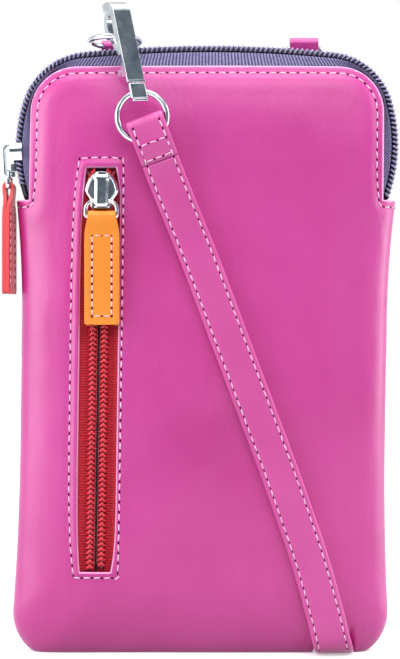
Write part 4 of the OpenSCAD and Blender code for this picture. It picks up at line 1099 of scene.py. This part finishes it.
slab(eyeBm, [(-3.2, -6.9), (-3.2, -6.1), (-2.2, -6.1), (-2.2, -6.9)], (-1.3, 3.4), 0.25)
for name, bm, node in (("hook_band_left", bandBm, "hook_left"), ("hook_head_left", eyeBm, "hook_eye_left")):
    bmesh.ops.transform(bm, matrix=hookPlace, verts=bm.verts)
    metalPieces[name] = makeCasting(name, bm, node)

wires = ["main_pull_link", "pocket_pull_link", "tab_ring_left", "tab_ring_right", "strap_ring_left",
         "strap_ring_right", "hook_eye_left", "hook_eye_right", "hook_gate_pin_left", "hook_gate_pin_right"]
for node in wires:
    nodes[node].data.materials.clear()
    nodes[node].data.materials.append(nickel)
print("metal: castings and wires")

# ---- pull tabs: one strip folded over the link's bar and sewn
pull = {"ply": 1.0, "wide": 10.15, "shoulder": 4.6, "long": 31.7, "corner": 0.7,
        "hole": 0.75, "seamIn": 2.2, "seamTop": -5.6, "pitch": 2.4}


def pullWidth(down, neck, low):
    # half width of the strip at a height below the fold; its neck ends at low
    f = ramp(low, pull["shoulder"], down)
    w = mix(neck, pull["wide"], 0.75 * f + 0.25 * ease(f)) / 2
    short = pull["long"] - down
    if short < pull["corner"]:
        w -= pull["corner"] - math.sqrt(max(pull["corner"] ** 2 - (pull["corner"] - short) ** 2, 0))
    return w


def pullLine():
    # (y, z) from the back ply's foot up, over the bar and down the front ply
    outer = pull["hole"] + pull["ply"] / 2
    flat = pull["ply"] / 2 + 0.03
    low = pull["long"]
    back = [(flat, -low), (flat, -low + 0.35), (flat, -low + 0.8)]
    back += [(flat, z) for z in steps(12, -low + 2.5, -7)] + [(flat + 0.02, -5.8), (flat + 0.1, -4.6),
                                                             (mix(flat, outer, 0.5), -3.0), (outer - 0.1, -1.5)]
    over = [(outer * math.cos(a), outer * math.sin(a)) for a in steps(12, 0, math.pi)]
    return back + over + [(-y, z) for y, z in reversed(back)]


def makePull(name, at, turn, twist, neck, leather, node):
    line, body = pullLine(), bodyOf(node)
    shares = [-1, -0.985, -0.95, -0.88, -0.76, -0.6, -0.42, -0.2, 0, 0.2, 0.42, 0.6, 0.76, 0.88, 0.95, 0.985, 1]

    def place(i, j):
        y, z = line[j]
        f = shares[i]
        half = pullWidth(-z, *neck)
        # the strip's edges stand a little proud, and its seams lie in grooves
        lift = 0.22 * math.exp(-((abs(f) * half - half + 0.85) / 0.5) ** 2)
        groove = 0.16 * math.exp(-((abs(f) * half - half + pull["seamIn"]) / 0.45) ** 2) * ramp(-5.5, -7.5, z)
        face = 1 if y > 0 else -1
        spot = vec(f * half, y + face * (lift - groove if z < -5 else 0.0), z)
        return turned(spot, z)

    def turned(spot, z):
        # the strip twists a little below its bar
        return Matrix.Rotation(math.radians(twist) * ease(ramp(-2, -9, z)), 3, "Z") @ spot

    bm = mappedGrid(len(shares), len(line), place, lambda i, j: (shares[i] * 5 * mm, j * mm))[0]
    matrix = Matrix.Translation(at) @ Matrix.Rotation(turn, 4, "Z")
    bmesh.ops.recalc_face_normals(bm, faces=bm.faces)
    if sum(f.normal.y * (1 if f.calc_center_median().y > 0 else -1) for f in bm.faces) < 0:
        bmesh.ops.reverse_faces(bm, faces=bm.faces)
    bmesh.ops.transform(bm, matrix=matrix, verts=bm.verts)
    piece = makePiece(name, bm, [leather], body, [node])
    addWall(piece, pull["ply"], 0)
    edge = piece.modifiers.new("edge", "BEVEL")
    edge.width, edge.segments, edge.limit_method, edge.angle_limit = 0.2 * mm, 2, "ANGLE", math.radians(60)
    core = bmesh.new()
    sides = [(pullWidth(d, *neck) + 0.03, -d) for d in (6.8, 12, 20, pull["long"] - 0.7, pull["long"] - 0.1)]
    slab(core, sides + [(-x, z) for x, z in sides[::-1]], (-0.42, 0.42), 0.05, 1)
    bmesh.ops.transform(core, matrix=matrix @ Matrix.Rotation(math.radians(twist), 4, "Z"), verts=core.verts)
    makePiece(name + "_core", core, [leather], body, (), smooth=False)
    seam = bmesh.new()
    half, top, low = pull["wide"] / 2 - pull["seamIn"], pull["seamTop"], -pull["long"] + 2.5
    proud = pull["ply"] - 0.04
    for face in (-1, 1):
        box = [(-half, low), (-half, top), (half, top), (half, low), (-half, low)]
        for (ax, az), (bx, bz) in zip(box, box[1:]):
            n = max(1, round(math.hypot(bx - ax, bz - az) / 0.8))
            side = [(turned(vec(mix(ax, bx, k / n), face * proud, mix(az, bz, k / n)), mix(az, bz, k / n)),
                     turned(vec(0, face, 0), mix(az, bz, k / n))) for k in range(n + 1)]
            sew(seam, [(matrix @ q, matrix.to_3x3() @ w) for q, w in side], pull["pitch"], length=1.7)
    makeThreads(name + "_stitches", seam, body)


# the folds lie round the links' bars, which are the pulls' axes
mainBar, pocketBar = vec(-57.794, 0, 138.785), vec(-29.35, -12.325, 129.396)
makePull("main_pull_leather", mainBar, -math.pi / 2, -7, (7.3, 1.8), coralLeather, "main_pull_tab")
makePull("pocket_pull_leather", pocketBar, 0, 0, (7.8, -1.4), orangeLeather, "pocket_pull_tab")
print("pulls: folded and sewn")

# ---- leather tabs that hold the two rings at the back
for node in ("ring_tab_left", "ring_tab_right"):
    makeCasting(node + "_leather", castingCopy(node, 0.25), node, [node], 1, pinkLeather)

# ---- pocket slider: a die-cast body with raised rims, and the bridge that the link hangs in
slider = {"rim": 0.1, "dish": 0.2, "edge": 0.1, "slope": 0.55}
sliderMid = vec(leaned(-30.7, 138.4), pocket["crest"], 138.4)
bodyHalf = [(0, 4.45), (0.8, 4.4), (1.9, 4.05), (2.9, 3.35), (3.75, 2.2), (4.35, 0.9), (4.75, -0.5), (4.88, -1.3),
            (4.55, -2.2), (3.95, -3.1), (3.5, -3.8), (3.35, -4.5), (3.2, -6.0), (2.6, -6.9), (0, -6.9)]
wallHalf = [(3.75, 2.0), (4.3, 0.8), (4.7, -0.5), (4.8, -1.3), (4.5, -2.2), (4.0, -3.0), (3.75, -3.2)]
underHalf = [(0, 4.0), (1.8, 3.8), (3.6, 2.0), (4.3, -0.8), (3.4, -3.6), (0, -4.0)]
bridgeHalf = [(0, 3.3), (1.9, 3.3), (2.4, 2.9), (2.4, 1.9), (2.05, 1.4), (2.05, -5.2), (1.5, -6.1), (0, -6.1)]


def plate(bm, half, outs, bevel, rim=0.0, dish=0.0, both=True, slope=0.0):
    # a plate from half an outline; outs are its back and front, measured out from the chain's crest;
    # its front edge may slope in, then its face may sink inside a rim
    ring = half + ([(-a, z) for a, z in half[::-1] if a > 1e-6] if both else [])
    part = bmesh.new()
    face = part.faces.new([part.verts.new(vec(a, 0.75 * slope - outs[1], z)) for a, z in ring])
    face.normal_update()
    if face.normal.y > 0:
        face.normal_flip()
    if slope:
        bmesh.ops.inset_individual(part, faces=[face], thickness=slope, depth=0.75 * slope, use_even_offset=True)
    if rim:
        bmesh.ops.inset_individual(part, faces=[face], thickness=rim, depth=0.0, use_even_offset=True)
        bmesh.ops.inset_individual(part, faces=[face], thickness=dish * 1.2, depth=-dish, use_even_offset=True)
    grown = bmesh.ops.extrude_face_region(part, geom=[f for f in part.faces])
    for v in grown["geom"]:
        if isinstance(v, bmesh.types.BMVert):
            v.co.y = -outs[0]
    bmesh.ops.recalc_face_normals(part, faces=part.faces)
    breakEdges(part, bevel, 50, 2)
    stamp(bm, stampMesh(part, "plate"), Matrix.Identity(4))


sliderBm = bmesh.new()
plate(sliderBm, bodyHalf, (0.2, 1.25), slider["edge"], slider["rim"], slider["dish"], slope=slider["slope"])
plate(sliderBm, wallHalf, (-1.85, 0.6), 0.12, both=False)
plate(sliderBm, [(-a, z) for a, z in wallHalf[::-1]], (-1.85, 0.6), 0.12, both=False)
plate(sliderBm, underHalf, (-4.2, -3.45), 0.12)
plate(sliderBm, [(0, 4.1), (0.25, 4.1), (0.25, 1.7), (0, 1.7)], (-3.8, 0.8), 0.05)
bridgeBm = bmesh.new()
plate(bridgeBm, bridgeHalf, (2.85, 3.8), 0.08, slope=0.8)
plate(bridgeBm, [(0, 4.2), (1.15, 4.2), (1.3, 3.1), (0, 3.1)], (1.2, 3.3), 0.2)
plate(bridgeBm, [(0, -5.35), (1.5, -5.35), (1.5, -6.1), (0, -6.1)], (1.2, 3.2), 0.15)
sliderPlace = Matrix.Translation(sliderMid) @ Matrix.Rotation(math.radians(pouch["lean"]), 4, "Y")
for name, bm, node in (("pocket_slider_plated", sliderBm, "pocket_slider"),
                       ("pocket_slider_bridge", bridgeBm, "pocket_slider_crown")):
    bmesh.ops.transform(bm, matrix=sliderPlace, verts=bm.verts)
    makePiece(name, bm, [nickel], bodyOf(node), [node], smooth=False)
print("pocket slider: made")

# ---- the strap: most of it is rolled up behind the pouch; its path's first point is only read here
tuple(strapPath[0])

# ---- stage: pale floor, soft boxes left, right and above
stage = {"floor": 6.0, "world": 0.46, "left": 4.6, "right": 4.0, "top": 6.2, "front": 4.6, "glow": (0.42, 1.0)}


def seenRays(tree):
    # 1 for rays from the camera and those that gloss or glass sends out, else 0
    paths = addNode(tree, "ShaderNodeLightPath")
    both = maths(tree, "MAXIMUM", paths.outputs["Is Camera Ray"], paths.outputs["Is Glossy Ray"])
    return maths(tree, "MAXIMUM", both, paths.outputs["Is Transmission Ray"])


# white paper: lit by the lamps near the pouch, so it takes a shadow, and white further off
floorMaterial, floorTree, floorShader = newMaterial("whitePaper", {"Roughness": 0.9, "Base Color": linear("#f4f4f4"),
                                                                   "Emission Color": (1, 1, 1, 1)})
far = addNode(floorTree, "ShaderNodeVectorMath", {"operation": "LENGTH"}, coordinates(floorTree))
glow = addNode(floorTree, "ShaderNodeMapRange", {"From Min": 0.15, "From Max": 0.7, "To Min": stage["glow"][0],
                                                 "To Max": stage["glow"][1]}, {"Value": far.outputs["Value"]})
glowSeen = maths(floorTree, "MULTIPLY", glow.outputs["Result"], seenRays(floorTree))
floorTree.links.new(glowSeen, floorShader.inputs["Emission Strength"])
# it throws only part of its light back up at the leather
paper = addNode(floorTree, "ShaderNodeValToRGB", {"stops": [(0.0, "#808080"), (1.0, "#f4f4f4")]},
                {"Fac": seenRays(floorTree)})
floorTree.links.new(paper.outputs["Color"], floorShader.inputs["Base Color"])
floorBm = bmesh.new()
bmesh.ops.create_grid(floorBm, x_segments=1, y_segments=1, size=stage["floor"])
floorMesh = stampMesh(floorBm, "floor")
floorMesh.materials.append(floorMaterial)
floor = addObject("floor", floorMesh)

world = bpy.data.worlds.new("studio")
bpy.context.scene.world = world
world.use_nodes = True
worldTree = world.node_tree
white = worldTree.nodes["Background"]
white.inputs["Color"].default_value = (1, 1, 1, 1)
strength = addNode(worldTree, "ShaderNodeMapRange", {"To Min": stage["world"], "To Max": 1.0},
                   {"Value": seenRays(worldTree)})
worldTree.links.new(strength.outputs["Result"], white.inputs["Strength"])


def softBox(name, place, aim, size, power):
    lamp = bpy.data.lights.new(name, "AREA")
    lamp.shape, lamp.size, lamp.size_y, lamp.energy = "RECTANGLE", size[0], size[1], power
    box = addObject(name, lamp)
    box.location = place
    box.rotation_euler = (vec(*aim) - vec(*place)).to_track_quat("-Z", "Y").to_euler()


# two grey cards, one behind the camera and one to the right: only gloss and metal mirror them
cardBm = bmesh.new()
for place, half in (((0, -1.0, 0.15), 0.5), ((0.72, -0.41, 0.42), 0.42)):
    aim = (vec(0, 0, 0.16) - vec(*place)).to_track_quat("-Z", "Y").to_matrix().to_4x4()
    bmesh.ops.create_grid(cardBm, x_segments=1, y_segments=1, size=half, matrix=Matrix.Translation(place) @ aim)
cardMesh = stampMesh(cardBm, "darkCard")
cardMesh.materials.append(newMaterial("greyCard", {"Base Color": linear("#5f6b79"), "Roughness": 0.9})[0])
card = addObject("darkCard", cardMesh)
card.visible_camera = card.visible_diffuse = card.visible_shadow = card.visible_transmission = False

for name, place, size in (("boxLeft", (-0.75, -0.35, 0.3), (0.5, 0.7)), ("boxRight", (0.8, -0.02, 0.3), (0.4, 0.7)),
                          ("boxTop", (0, -0.1, 0.9), (0.8, 0.6)), ("boxFront", (0.25, -0.9, 0.8), (1.0, 0.5))):
    softBox(name, place, (0, 0, 0.1), size, stage[name[3:].lower()])
bpy.context.scene.view_settings.view_transform = "Standard"
print("stage: floor and lamps")
